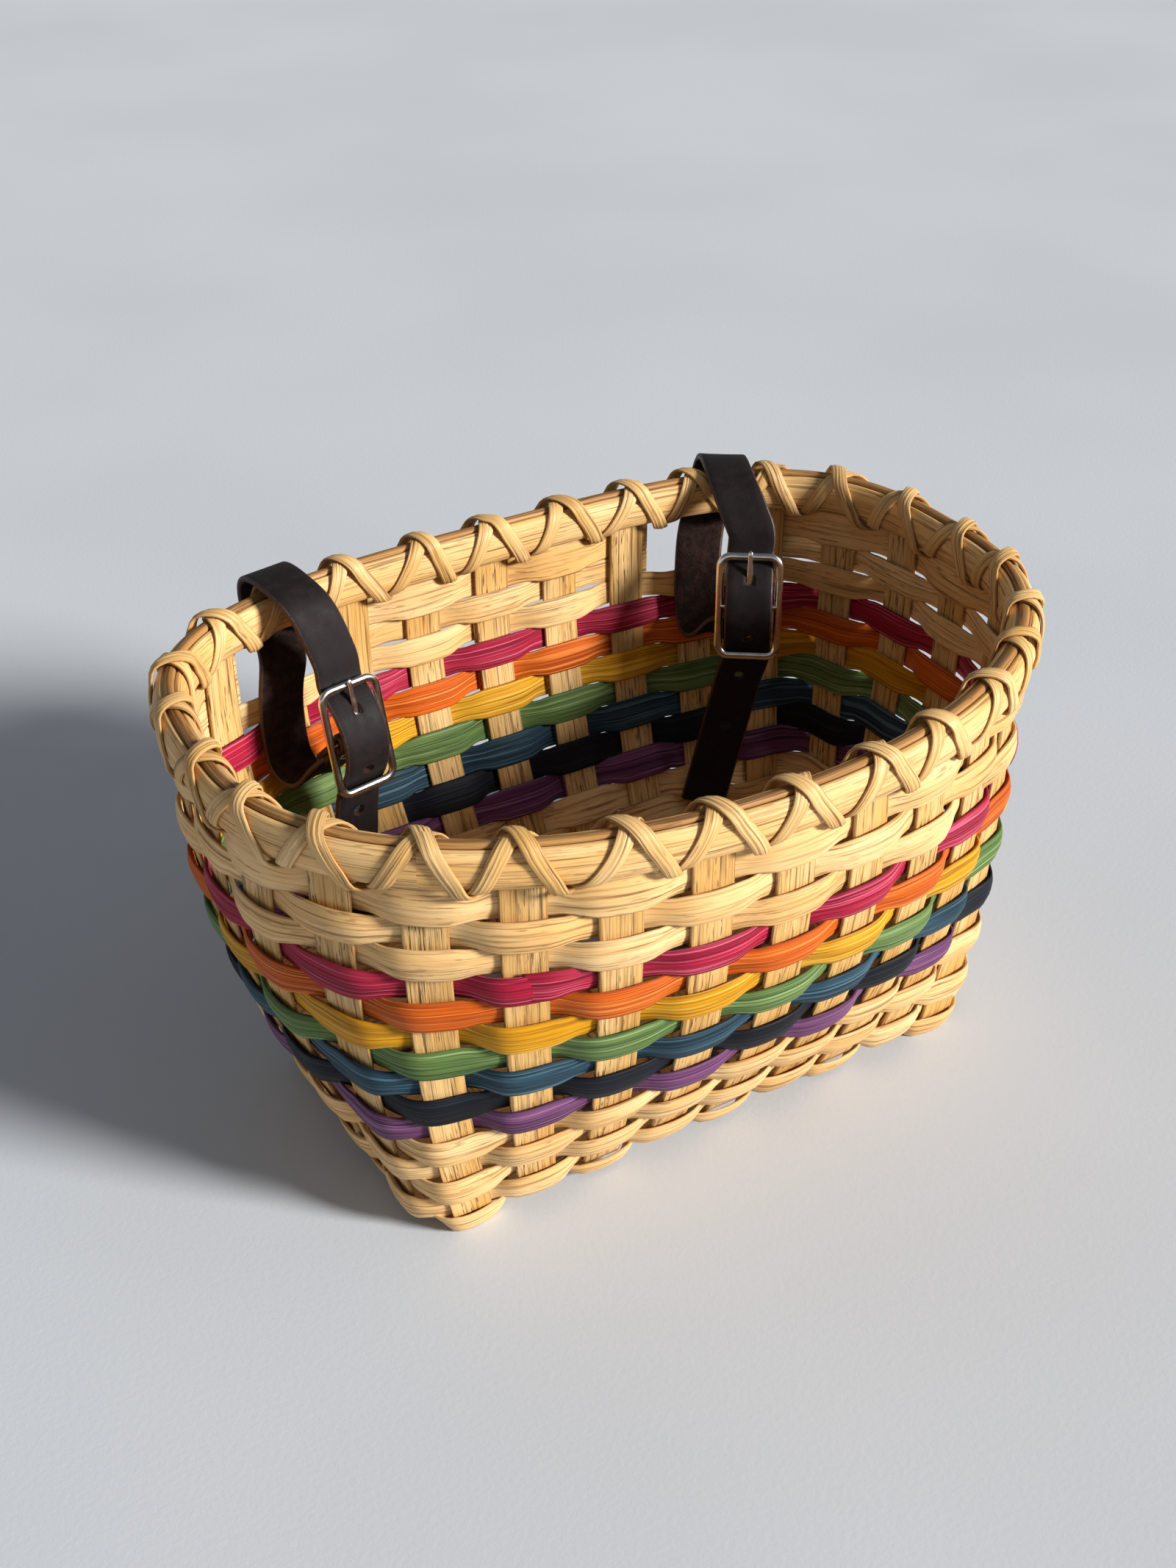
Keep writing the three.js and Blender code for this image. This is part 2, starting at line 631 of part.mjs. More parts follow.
// Round cutter through the strap at a distance along its path, square to the leather
function holeCutter(path, distance, diameter) {
  let left = distance;
  let m = 0;
  while (left > path[m].distanceTo(path[m + 1])) {
    left -= path[m].distanceTo(path[m + 1]);
    m += 1;
  }
  const run = path[m + 1].clone().sub(path[m]).normalize();
  const centre = path[m].clone().addScaledVector(run, left);
  const out = new THREE.Vector3(1, 0, 0).cross(run).normalize();
  const turn = new THREE.Quaternion().setFromUnitVectors(new THREE.Vector3(0, 1, 0), out);
  const cutter = new THREE.CylinderGeometry(diameter / 2, diameter / 2, 2 * STRAP_THICKNESS, 12);
  return solidOf(cutter.applyQuaternion(turn).translate(centre.x, centre.y, centre.z));
}

// Outline in the buckle's side view, with up and front as its axes, made as wide as given
function sideExtrude(shape, width) {
  const geometry = new THREE.ExtrudeGeometry(shape, { depth: width, bevelEnabled: false, curveSegments: 8 });
  const axes = new THREE.Matrix4().makeBasis(
    new THREE.Vector3(0, 0, 1),
    new THREE.Vector3(0, -1, 0),
    new THREE.Vector3(1, 0, 0),
  );
  return geometry.translate(0, 0, -width / 2).applyMatrix4(axes);
}

// Route of the leather from the end of the flap round the bar, down, up the wall, through the slot,
// over the rim
// and through the buckle to behind its lower bar
function strapPath(hang) {
  const { radius, inset } = strapSizes(hang);
  const folded = fromFold(hang);
  const buckled = fromBuckle(hang);
  const at = (x) => ([y, z]) => [x, y, z];
  const fold = [
    folded(FLAP_REACH, LAYER_HALF),
    folded(RIVET_REACH, LAYER_HALF),
    folded(RIVET_REACH - RIVET_MARGIN, LAYER_HALF),
    ...arc(FOLD_RADIUS, 75, 285, 6, folded),
    folded(RIVET_REACH - RIVET_MARGIN, -LAYER_HALF),
    folded(RIVET_REACH, -LAYER_HALF),
    folded(RIVET_REACH + RIVET_MARGIN, -LAYER_HALF),
  ].map(at(hang.buckle));
  const [foldEnd] = folded(RIVET_REACH + RIVET_MARGIN, -LAYER_HALF);
  const bend = (-inset - foldEnd) / 2;
  const loop = [
    ...arc(bend, -90, 0, 3, (y, z) => [y - bend - inset, z + bend - hang.loop]),
    [-inset + STRAP_HALF, -2 * radius],
    [-inset / 2, -radius - 2 * STRAP_THICKNESS],
  ].map(at(hang.rear));
  const full = (value) => Math.sign(value) * Math.abs(value) ** (2 / ARCH_FULLNESS);
  const over = arc(1, -65, 105, 9, (y, z) => [0, radius * full(y), radius * full(z)]);
  const front = [
    [-BUCKLE_INSET / 2, radius / 2],
    buckled(1.5 * BAR_REACH, -BEHIND_BAR),
    ...Array.from({ length: 9 }, (_, m) => {
      const share = 1 - m / 4;
      return buckled(share * BAR_REACH, FRONT_BULGE - (FRONT_BULGE + BEHIND_BAR) * share ** 2);
    }),
  ].map(at(hang.buckle));
  front[0][0] /= 2;
  return smooth([...fold, ...loop, ...over, ...front], 64);
}

// Route of the loose tail, from just past the end of the strap's path down to the tip, clear of the wall,
// which draws in towards the base
function tailPath(hang, end, strapEnd, run) {
  const start = strapEnd.clone().addScaledVector(run, TAIL_GAP);
  const neck = start.clone().addScaledVector(run, TAIL_BEND / 3);
  const inwards = new THREE.Vector3(-end.rimAlong.y, end.rimAlong.x, 0);
  const outwards = inwards.applyAxisAngle(UP, -hang.turn).negate();
  const drop = (depth) => {
    const x = THREE.MathUtils.lerp(hang.buckle, hang.tip, depth / TAIL_LENGTH);
    const z = start.z - depth;
    const level = (RIM_MIDDLE + z - BASE_HEIGHT - BEND_UP) / ROW_PITCH + 0.5;
    const drawnIn = wallPoint(end, level).point.sub(end.rim).dot(outwards);
    const clear = drawnIn - wallInset(hang.turn, x, TAIL_ROOM);
    return [x, Math.min(start.y + TAIL_BEND * TAIL_LEAN * run.y, clear), z];
  };
  return smooth([
    start.toArray(),
    neck.toArray(),
    drop(TAIL_BEND),
    drop(2 * TAIL_BEND),
    drop(TAIL_LENGTH),
  ], 14);
}

// Wire frame of the buckle, in its own axes: a rounded loop with a bar across its middle
function buckleFrame() {
  const halfWidth = STRAP_WIDTH / 2 + BUCKLE_SIDE_PLAY + WIRE / 2;
  const corners = [[1, 1, 0], [-1, 1, 90], [-1, -1, 180], [1, -1, 270]];
  const rings = corners.flatMap(([sx, sz, start]) => arc(1, start, start + 90, 3, (c, s) => {
    const centre = new THREE.Vector3(sx * (halfWidth - BUCKLE_CORNER), 0, sz * (BAR_REACH - BUCKLE_CORNER));
    centre.add(new THREE.Vector3(c, 0, s).multiplyScalar(BUCKLE_CORNER));
    return arc(WIRE / 2, 0, 315, 7, (radial, y) => new THREE.Vector3(c * radial, y, s * radial).add(centre));
  }));
  const bar = new THREE.CylinderGeometry(WIRE / 2, WIRE / 2, 2 * halfWidth, 8).rotateZ(Math.PI / 2);
  return geometryOf(solidOf(loft(rings, true)).add(solidOf(bar)));
}

// Tongue of the buckle: an eye round the bar and an arm that lies on the upper bar
function buckleTongue() {
  const outer = TONGUE_BORE + TONGUE_WALL;
  const rest = WIRE / 2 + TONGUE_GAP;
  const tip = BAR_REACH + WIRE / 2 + TONGUE_TIP;
  const low = Math.asin(TONGUE_GAP / outer);
  const high = Math.acos(TONGUE_GAP / outer);
  const shape = new THREE.Shape();
  shape.absarc(0, 0, outer, low, high, true);
  shape.lineTo(tip - TONGUE_TIP / 2, rest + TONGUE_WALL);
  shape.lineTo(tip, rest + TONGUE_WALL / 2);
  shape.lineTo(tip - TONGUE_TIP / 2, rest);
  shape.lineTo(BAR_REACH, rest);
  shape.closePath();
  shape.holes.push(new THREE.Path().absarc(0, 0, TONGUE_BORE, 0, 2 * Math.PI, false));
  return sideExtrude(shape, TONGUE_WIDTH);
}

// Cutters that clear the tongue's eye and arm
function tongueCutters() {
  const eye = new THREE.Shape().absarc(0, 0, FOLD_RADIUS + STRAP_HALF + FOLD_GAP / 2, 0, 2 * Math.PI, false);
  const slitTop = BAR_REACH - WIRE / 2;
  const arm = new THREE.Shape();
  arm.moveTo(slitTop - TONGUE_SLIT, -WIRE / 2);
  arm.lineTo(slitTop, -WIRE / 2);
  arm.lineTo(slitTop, FRONT_BULGE);
  arm.lineTo(slitTop - TONGUE_SLIT, FRONT_BULGE);
  return [eye, arm].map((shape) => sideExtrude(shape, TONGUE_WIDTH + 2 * TONGUE_PLAY));
}

// Rivet through both layers of the folded end
function rivet() {
  const grip = STRAP_HALF + LAYER_HALF + RIVET_GAP;
  const end = grip + RIVET_HEAD_HEIGHT;
  const half = [
    [RIVET_SHANK / 2, grip],
    [RIVET_HEAD / 2, grip],
    [RIVET_HEAD / 2, grip + RIVET_HEAD_HEIGHT / 2],
    [RIVET_HEAD / 3, end],
    [0, end],
  ];
  const outline = [...half.map(([r, y]) => [r, -y]).reverse(), ...half];
  return new THREE.LatheGeometry(outline.map(([r, y]) => new THREE.Vector2(r, y)), 12);
}

function addStrap(hang, k) {
  const end = stakeEnds[k];
  const pitch = rimPlan.getLength() / ENDS;
  const group = new THREE.Group();
  group.position.copy(rimAt(k - hang.slot / pitch, 0, RIM_MIDDLE));
  group.rotation.z = Math.atan2(-end.rimAlong.y, -end.rimAlong.x) - hang.turn;
  basket.add(group);

  const buckle = new THREE.Group();
  buckle.position.set(hang.buckle, ...fromBuckle(hang)(0, 0));
  buckle.rotation.x = -BUCKLE_TILT;
  buckle.updateMatrix();
  group.add(buckle);
  addMesh(buckle, `${hang.side}_buckle_frame`, buckleFrame(), NICKEL, 0.3, 1);
  addMesh(buckle, `${hang.side}_buckle_tongue`, buckleTongue(), NICKEL, 0.3, 1);

  const rivetMesh = addMesh(group, `${hang.side}_rivet`, rivet(), NICKEL, 0.35, 1);
  rivetMesh.position.set(hang.buckle, ...fromFold(hang)(RIVET_REACH, 0));
  rivetMesh.rotation.x = Math.PI / 2 - FOLD_SLOPE;
  rivetMesh.updateMatrix();

  const path = strapPath(hang);
  const length = path.reduce((sum, point, m) => sum + (m ? point.distanceTo(path[m - 1]) : 0), 0);
  const shankHole = RIVET_SHANK / 2 + RIVET_GAP;
  const rivetHole = new THREE.CylinderGeometry(shankHole, shankHole, 4 * STRAP_THICKNESS, 12);
  const cutters = [
    holeCutter(path, length - HOLE_REACH, HOLE_DIAMETER),
    solidOf(rivetHole.applyMatrix4(rivetMesh.matrix)),
    ...tongueCutters().map((geometry) => solidOf(geometry.applyMatrix4(buckle.matrix))),
  ];
  const strap = cutters.reduce((solid, cutter) => solid.subtract(cutter), strip(path));
  addMesh(group, `${hang.side}_strap`, geometryOf(strap), LEATHER, 0.75);

  const last = path[path.length - 1];
  const run = last.clone().sub(path[path.length - 2]).normalize();
  const loose = tailPath(hang, end, last, run);
  let tail = strip(loose);
  for (let reach = HOLE_PITCH - HOLE_REACH; reach < TAIL_LENGTH - HOLE_PITCH; reach += HOLE_PITCH) {
    tail = tail.subtract(holeCutter(loose, reach, HOLE_DIAMETER));
  }
  addMesh(group, `${hang.side}_strap_tail`, geometryOf(tail), LEATHER, 0.75);
}

STRAPS.forEach((hang, m) => addStrap(hang, slotEnds[m]));

export default basket;
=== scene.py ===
import json
import math

import bmesh
import bpy
import numpy as np
from mathutils import Matrix, Vector


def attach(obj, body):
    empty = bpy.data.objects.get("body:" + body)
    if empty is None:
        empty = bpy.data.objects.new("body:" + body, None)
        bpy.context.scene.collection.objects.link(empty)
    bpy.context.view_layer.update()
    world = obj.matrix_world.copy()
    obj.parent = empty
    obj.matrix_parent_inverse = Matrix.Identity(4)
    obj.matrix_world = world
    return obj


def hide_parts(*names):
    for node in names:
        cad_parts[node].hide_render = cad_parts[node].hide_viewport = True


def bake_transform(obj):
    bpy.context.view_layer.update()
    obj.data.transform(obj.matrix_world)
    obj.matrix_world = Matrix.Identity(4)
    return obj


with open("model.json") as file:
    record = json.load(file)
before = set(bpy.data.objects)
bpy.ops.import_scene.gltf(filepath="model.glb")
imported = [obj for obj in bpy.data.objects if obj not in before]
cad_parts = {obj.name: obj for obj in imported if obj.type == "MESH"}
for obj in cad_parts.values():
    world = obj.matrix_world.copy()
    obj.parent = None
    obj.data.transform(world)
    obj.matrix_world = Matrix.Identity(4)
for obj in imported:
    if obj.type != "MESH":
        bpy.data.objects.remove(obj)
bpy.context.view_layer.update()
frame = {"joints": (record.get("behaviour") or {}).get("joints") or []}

draws = np.random.default_rng(11)
MM = 0.001
UP = np.array([0.0, 0.0, 1.0])
UP_VECTOR = Vector((0, 0, 1))
STRAP_ACROSS = (1.0, 0.0, 0.0)
BUCKLE_ACROSS = (0.0, 1.0, 0.0)

# Sizes of the reed, in millimetres
STAKE_WIDTH = 16
STAKE_THICKNESS = 1.5
ROW_HEIGHT = 10.4
ROW_THICKNESS = 2.2
LASH_WIDTH = 6.2
LASH_THICKNESS = 1.5
WEAVE_GAP = 0.4
ROW_SPACING = 1.2

# Crowns and grooves of the strips, and the length of grain that they are cut from, in metres
STAKE_CROWN = 0.12
STAKE_GROOVES, STAKE_GROOVE_REACH = 5, 6.5
STAKE_GROOVE = {"depth": 0.1, "width": 0.5}
ROW_CROWN = 0.9
ROW_EDGE = 0.8
ROW_GROOVES, ROW_GROOVE_REACH = 4, 4
ROW_GROOVE = {"depth": 0.14, "width": 0.45}
LASH_CROWN = 0.5
LASH_GROOVES = (-1.3, 0.4, 1.7)
LASH_GROOVE = {"depth": 0.2, "width": 0.28}
GRAIN_LENGTH = 50
FILLER_GRAIN = 3.0

# Sizes of the base
CROSS_STAKES = 9
LONG_STAKES = 5
CROSS_SPACING = 11
LONG_SPACING = 6.6
BASE_MARGIN = 8.6
BASE_RISE = 5
BASE_FORWARD = 3.1
BASE_RIGHT = 2.5
BEND_UP = 7.5
FOOT_ROOM = 0.8
FOOT_FLAT = 0.8

# Sizes of the rim and wall
RIM_LENGTH = 327
RIM_WIDTH = 221
FRONT_ROUNDNESS = 2.05
BACK_ROUNDNESS = 3.3
WALL_BULGE = 1.19
FLARE_LEAD = 0.2
RIM_HEIGHT = 17
RIM_BAND = 5.5
RIM_FULLNESS = 2.4
RIM_GAP = 0.3
RIM_CLEARANCE = 3.45
FILLER_GROOVE = 2
FILLER_CROWN = 0.8
FILLER_PLAY = 1
LASH_SEAT = 0.15

# Sizes of the straps and buckles
SLOT_STAKE = 3
STRAP_WIDTH = 20
STRAP_THICKNESS = 2.6
STRAP_ROOM = 1
CREST_ROOM = 0.3
STRAP_LASH_ROOM = 3.15
REAR_ROOM = 2.8
ARCH_FULLNESS = 2.7
ARCH_START, ARCH_SWEEP = -65, 170
SLOT_SIDE = -10
CROSS_BACK = -6
CROSS_FRONT = 0.5
EASE_SIDEWAYS = 10
EASE = 3.5
LEATHER_EDGE = 0.8
TAIL_LENGTH = 82
TAIL_GAP = 0.3
TAIL_BEND = 14
TAIL_LEAN = 0.4
HOLE_DIAMETER = 4.5
HOLE_PITCH = 26
HOLE_REACH = 11
WIRE = 2.5
WIRE_SPREAD = 1
BUCKLE_HEIGHT = 45
BUCKLE_CORNER = 4
BUCKLE_SIDE_PLAY = 0.7
BUCKLE_PLAY = 2.8
BUCKLE_INSET = 40
BUCKLE_TILT = 0.22
FOLD_GAP = 0.3
FOLD_SLOPE = 0.785
FOLD_TURN = (75, 285)
FLAP_REACH = 22
TONGUE_WIDTH = 2.6
TONGUE_WALL = 1.5
TONGUE_TIP = 2.4
TONGUE_CROWN = 0.35
TONGUE_EDGE = 0.5
TONGUE_HEEL = 0.6
TONGUE_EYE = (385, 100)
TONGUE_NARROW, TONGUE_POINT = 0.72, 0.35
TONGUE_GAP = 0.33
TONGUE_PLAY = 0.7
TONGUE_SLIT = (10.3, 14.6)
SLIT_PLAY = 0.35
RIVET_HEAD = 8
RIVET_HEAD_HEIGHT = 1.4
RIVET_UNDERCUT = (0.2, 0.15)
RIVET_SHANK = 3.4
RIVET_REACH = 15
RIVET_MARGIN = 6

# How each strap hangs, as in the solids
STRAPS = {
    "right": {"turn": 0.378, "drop": 34, "loop": 57, "buckle": 15.2, "rear": -7.5, "tip": -1.8},
    "left": {"turn": 0.06, "drop": 43.5, "loop": 69, "buckle": -1.3, "rear": -16, "tip": -9},
}

# Colours of the weaver rows from the base up
DYED_ROWS = ["plum", "navy", "teal", "green", "yellow", "orange", "raspberry"]
ROW_COLOURS = ["natural"] * 5 + DYED_ROWS + ["natural"] * 3
SLOTTED_ROWS = 2

# Sizes worked out from these
ROWS = len(ROW_COLOURS)
ROW_PITCH = ROW_HEIGHT + ROW_SPACING
ENDS = 2 * (CROSS_STAKES + LONG_STAKES)
CROSS_HALF = (CROSS_STAKES - 1) / 2
LONG_HALF = (LONG_STAKES - 1) / 2
CROSS_PITCH = STAKE_WIDTH + CROSS_SPACING
LONG_PITCH = STAKE_WIDTH + LONG_SPACING
BASE_X = CROSS_HALF * CROSS_PITCH + STAKE_WIDTH / 2 + BASE_MARGIN
BASE_Y = LONG_HALF * LONG_PITCH + STAKE_WIDTH / 2 + BASE_MARGIN
FLAT_HALF = STAKE_WIDTH / 2 + WEAVE_GAP
ROW_OFFSET = STAKE_THICKNESS / 2 + WEAVE_GAP + ROW_THICKNESS / 2
WEAVE_SHIFT = (STAKE_THICKNESS + WEAVE_GAP) / 2
FOOT_RISE = BEND_UP + WEAVE_SHIFT
FOOT_LENGTH = ROW_HEIGHT + FOOT_ROOM


def foot_out(rise):
    return math.sqrt(FOOT_LENGTH ** 2 - rise ** 2)


FOOT_DEPTH = (ROW_OFFSET + ROW_THICKNESS / 2) * foot_out(FOOT_RISE) - FOOT_ROOM / 2 * FOOT_RISE
BASE_HEIGHT = WEAVE_SHIFT + FOOT_DEPTH / FOOT_LENGTH - FOOT_FLAT
TOP_ROW_HEIGHT = BASE_HEIGHT + BEND_UP + (ROWS - 1.5) * ROW_PITCH
RIM_BOTTOM = TOP_ROW_HEIGHT + ROW_HEIGHT / 2 + RIM_CLEARANCE
RIM_TOP = RIM_BOTTOM + RIM_HEIGHT
RIM_INSIDE = STAKE_THICKNESS / 2 + RIM_GAP
RIM_OUTSIDE = RIM_INSIDE + RIM_BAND
RIM_CENTRE = (RIM_BOTTOM + RIM_TOP) / 2
RIM_MIDDLE = (RIM_BOTTOM + RIM_TOP + FILLER_CROWN) / 2
STAKE_TOP = RIM_TOP - FILLER_GROOVE - RIM_GAP


# Curves and strips
LEAST_STEP = 1e-9
EDGE_ANGLES = (125, 180, 235), (305, 0, 55)


def unit(v):
    return v / np.linalg.norm(v, axis=-1, keepdims=True)


def run_along(points):
    """Distance along a line from its first point to every point."""
    return np.concatenate([[0], np.cumsum(np.linalg.norm(np.diff(points, axis=0), axis=1))])


def grain_start():
    """Where a strip begins in the grain of its reed or hide."""
    return draws.uniform(0, GRAIN_LENGTH)


def smooth_curve(points, per):
    """Smooth curve through the points, with per samples for every stretch."""
    p = np.asarray(points, float)
    p = np.vstack([2 * p[:1] - p[1:2], p, 2 * p[-1:] - p[-2:-1]])
    a, b, c, d = p[:-3], p[1:-2], p[2:-1], p[3:]
    before, here, after = [
        np.maximum(np.linalg.norm(q - r, axis=1, keepdims=True), LEAST_STEP) ** 0.5
        for q, r in ((b, a), (c, b), (d, c))
    ]
    leave = here * ((b - a) / before - (c - a) / (before + here) + (c - b) / here)
    reach = here * ((c - b) / here - (d - b) / (here + after) + (d - c) / after)
    t = (np.arange(per) / per)[None, :, None]
    square, cube = 3 * (c - b) - 2 * leave - reach, 2 * (b - c) + leave + reach
    curve = b[:, None] + leave[:, None] * t + square[:, None] * t ** 2 + cube[:, None] * t ** 3
    return np.vstack([curve.reshape(-1, 3), p[-2:-1]])


def between_samples(values, per):
    """Values at the points of a smooth curve, carried over to its samples."""
    v = np.asarray(values, float)
    t = (np.arange(per) / per)[None, :, None]
    mixed = v[:-1, None] * (1 - t) + v[1:, None] * t
    return np.vstack([mixed.reshape(-1, v.shape[1]), v[-1:]])


def strip_profile(width, thickness, crown=0.0, front=7, back=4, edge=0.6):
    """Outline of a flat strip as (across, out) pairs: a crowned face, a flat back and round edges.

    front and back count the points on the two faces, and edge is how far the rounding reaches in.
    """
    half = width / 2 - edge
    low, high = -thickness / 2, thickness / 2 - crown
    middle, rise = (low + high) / 2, (high - low) / 2

    def rounding(place, angles):
        return [(place + edge * math.cos(a), middle + rise * math.sin(a)) for a in np.radians(angles)]

    outline = [(x, thickness / 2 - crown * (x / half) ** 2) for x in np.linspace(half, -half, front)]
    outline += rounding(-half, EDGE_ANGLES[0])
    outline += [(x, low) for x in np.linspace(-half, half, back)]
    outline += rounding(half, EDGE_ANGLES[1])
    return np.array(outline)


def grooved(profile, places, depth, width):
    """The outline with lengthwise grooves in its crowned face."""
    cut = profile.copy()
    for place in places:
        near = np.exp(-((profile[:, 0] - place) / width) ** 2) * (profile[:, 1] > 0)
        cut[:, 1] -= depth * near
    return cut


def round_profile(across, out, sides):
    angle = np.arange(sides) * 2 * math.pi / sides
    return np.column_stack([across / 2 * np.cos(angle), out / 2 * np.sin(angle)])


def link(mesh):
    obj = bpy.data.objects.new(mesh.name, mesh)
    bpy.context.scene.collection.objects.link(obj)
    return obj


def piece(name, bm):
    """Object of a mesh that was built in a bmesh."""
    mesh = bpy.data.meshes.new(name)
    bm.to_mesh(mesh)
    bm.free()
    return link(mesh)


def sweep(name, path, across, profile, closed=False, zones=None, grow=None, floor=None, start=0.0):
    """Mesh object of an outline carried along a path in millimetres, with its width in the direction across.

    zones holds the material of each face round the outline, and grow the factors for width and thickness at
    every point of the path. No point lies below floor. start is where the grain begins, in metres.
    """
    path = np.asarray(path, float)
    if closed:
        tangent = unit(np.roll(path, -1, 0) - np.roll(path, 1, 0))
    else:
        tangent = unit(np.gradient(path, axis=0))
    out = unit(np.cross(tangent, across))
    side = np.cross(out, tangent)
    shape = np.broadcast_to(profile, (len(path), len(profile), 2))
    if grow is not None:
        shape = shape * np.asarray(grow)[:, None]
    corners = path[:, None] + side[:, None] * shape[..., :1] + out[:, None] * shape[..., 1:]
    if floor is not None:
        corners[..., 2] = np.maximum(corners[..., 2], floor)
    rings, sides = corners.shape[:2]
    spans = rings if closed else rings - 1
    r = np.repeat(np.arange(spans), sides)
    s = np.tile(np.arange(sides), spans)
    steps = (0, 0), (0, 1), (1, 1), (1, 0)
    quads = [(r + i) % rings * sides + (s + j) % sides for i, j in steps]
    faces = np.column_stack(quads).tolist()
    run = start + MM * run_along(np.vstack([path, path[:1]]))
    lap = MM * (run_along(np.vstack([profile, profile[:1]])) - profile[0, 0])
    uv = np.stack([np.column_stack([run[r + i], lap[s + j]]) for i, j in steps], axis=1).reshape(-1, 2)
    if not closed:
        last = (rings - 1) * sides
        faces += [list(range(sides))[::-1], list(range(last, last + sides))]
        ends = MM * np.vstack([profile[::-1], profile]) + [run[0], 0]
        uv = np.vstack([uv, ends])
    mesh = bpy.data.meshes.new(name)
    mesh.from_pydata((corners.reshape(-1, 3) * MM).tolist(), [], faces)
    mesh.uv_layers.new(name="UVMap").data.foreach_set("uv", uv.astype(np.float32).ravel())
    rims = np.abs(profile[:, 0]) / np.abs(profile[:, 0]).max()
    edge = mesh.attributes.new("edge", "FLOAT", "POINT")
    edge.data.foreach_set("value", np.tile(rims, rings).astype(np.float32))
    if zones is not None:
        index = np.concatenate([np.tile(zones, spans), [] if closed else [EDGE_ZONE] * 2]).astype(np.int32)
        mesh.polygons.foreach_set("material_index", index)
    mesh.polygons.foreach_set("use_smooth", np.ones(len(faces), bool))
    mesh.update()
    return link(mesh)


def dress(obj, node, body, slot, *materials):
    """Finishes a piece: its materials, the solid that it stands for and the body that it moves with."""
    for material in materials:
        obj.data.materials.append(material)
    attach(obj, body)
    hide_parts(node)


# Materials
def paint(code):
    """Linear colour of a six-digit screen colour."""
    values = [int(code[i:i + 2], 16) / 255 for i in (0, 2, 4)]
    return tuple(v / 12.92 if v <= 0.04045 else ((v + 0.055) / 1.055) ** 2.4 for v in values) + (1.0,)


class Nodes:
    """Nodes of a world or a material under construction."""

    def __init__(self, owner):
        owner.use_nodes = True
        self.owner = owner
        self.tree = owner.node_tree

    def add(self, kind, **settings):
        node = self.tree.nodes.new(kind)
        for key, value in settings.items():
            setattr(node, key, value)
        return node

    def set(self, node, **constants):
        for key, value in constants.items():
            node.inputs[key.replace("_", " ")].default_value = value

    def link(self, source, target):
        self.tree.links.new(source, target)

    def feed(self, socket, value):
        """Sets a constant on a socket, or links another node's output to it."""
        if isinstance(value, (int, float, tuple)):
            socket.default_value = value
        else:
            self.link(value, socket)

    def uv(self, along, across):
        """The strip's own coordinates, with a number of cycles for each metre along and across it."""
        coordinates = self.add("ShaderNodeUVMap", uv_map="UVMap")
        scale = self.add("ShaderNodeVectorMath", operation="MULTIPLY")
        self.link(coordinates.outputs["UV"], scale.inputs[0])
        scale.inputs[1].default_value = (along, across, 1)
        return scale.outputs["Vector"]

    def noise(self, vector, detail=3.0, roughness=0.55, scale=1.0, distortion=0.0):
        node = self.add("ShaderNodeTexNoise")
        self.set(node, Scale=scale, Detail=detail, Roughness=roughness, Distortion=distortion)
        self.link(vector, node.inputs["Vector"])
        return node.outputs["Fac"]

    def position(self):
        return self.add("ShaderNodeTexCoord").outputs["Object"]

    def attribute(self, name):
        return self.add("ShaderNodeAttribute", attribute_name=name).outputs["Fac"]

    def spread(self, value, low, high, to_low=0.0, to_high=1.0):
        node = self.add("ShaderNodeMapRange", interpolation_type="SMOOTHSTEP")
        self.set(node, From_Min=low, From_Max=high, To_Min=to_low, To_Max=to_high)
        self.link(value, node.inputs["Value"])
        return node.outputs["Result"]

    def math(self, operation, a, b):
        node = self.add("ShaderNodeMath", operation=operation)
        self.feed(node.inputs[0], a)
        self.feed(node.inputs[1], b)
        return node.outputs["Value"]

    def mix(self, factor, a, b):
        node = self.add("ShaderNodeMix", data_type="RGBA")
        self.feed(node.inputs["Factor"], factor)
        self.feed(node.inputs[6], a)
        self.feed(node.inputs[7], b)
        return node.outputs[2]

    def bump(self, height, strength, distance):
        node = self.add("ShaderNodeBump")
        self.set(node, Strength=strength, Distance=distance)
        self.link(height, node.inputs["Height"])
        self.link(node.outputs["Normal"], self.tree.nodes["Principled BSDF"].inputs["Normal"])

    def finish(self, colour, roughness, **constants):
        shader = self.tree.nodes["Principled BSDF"]
        self.link(colour, shader.inputs["Base Color"])
        self.link(roughness, shader.inputs["Roughness"])
        self.set(shader, **constants)
        return self.owner


def new_material(name):
    return Nodes(bpy.data.materials.new(name))


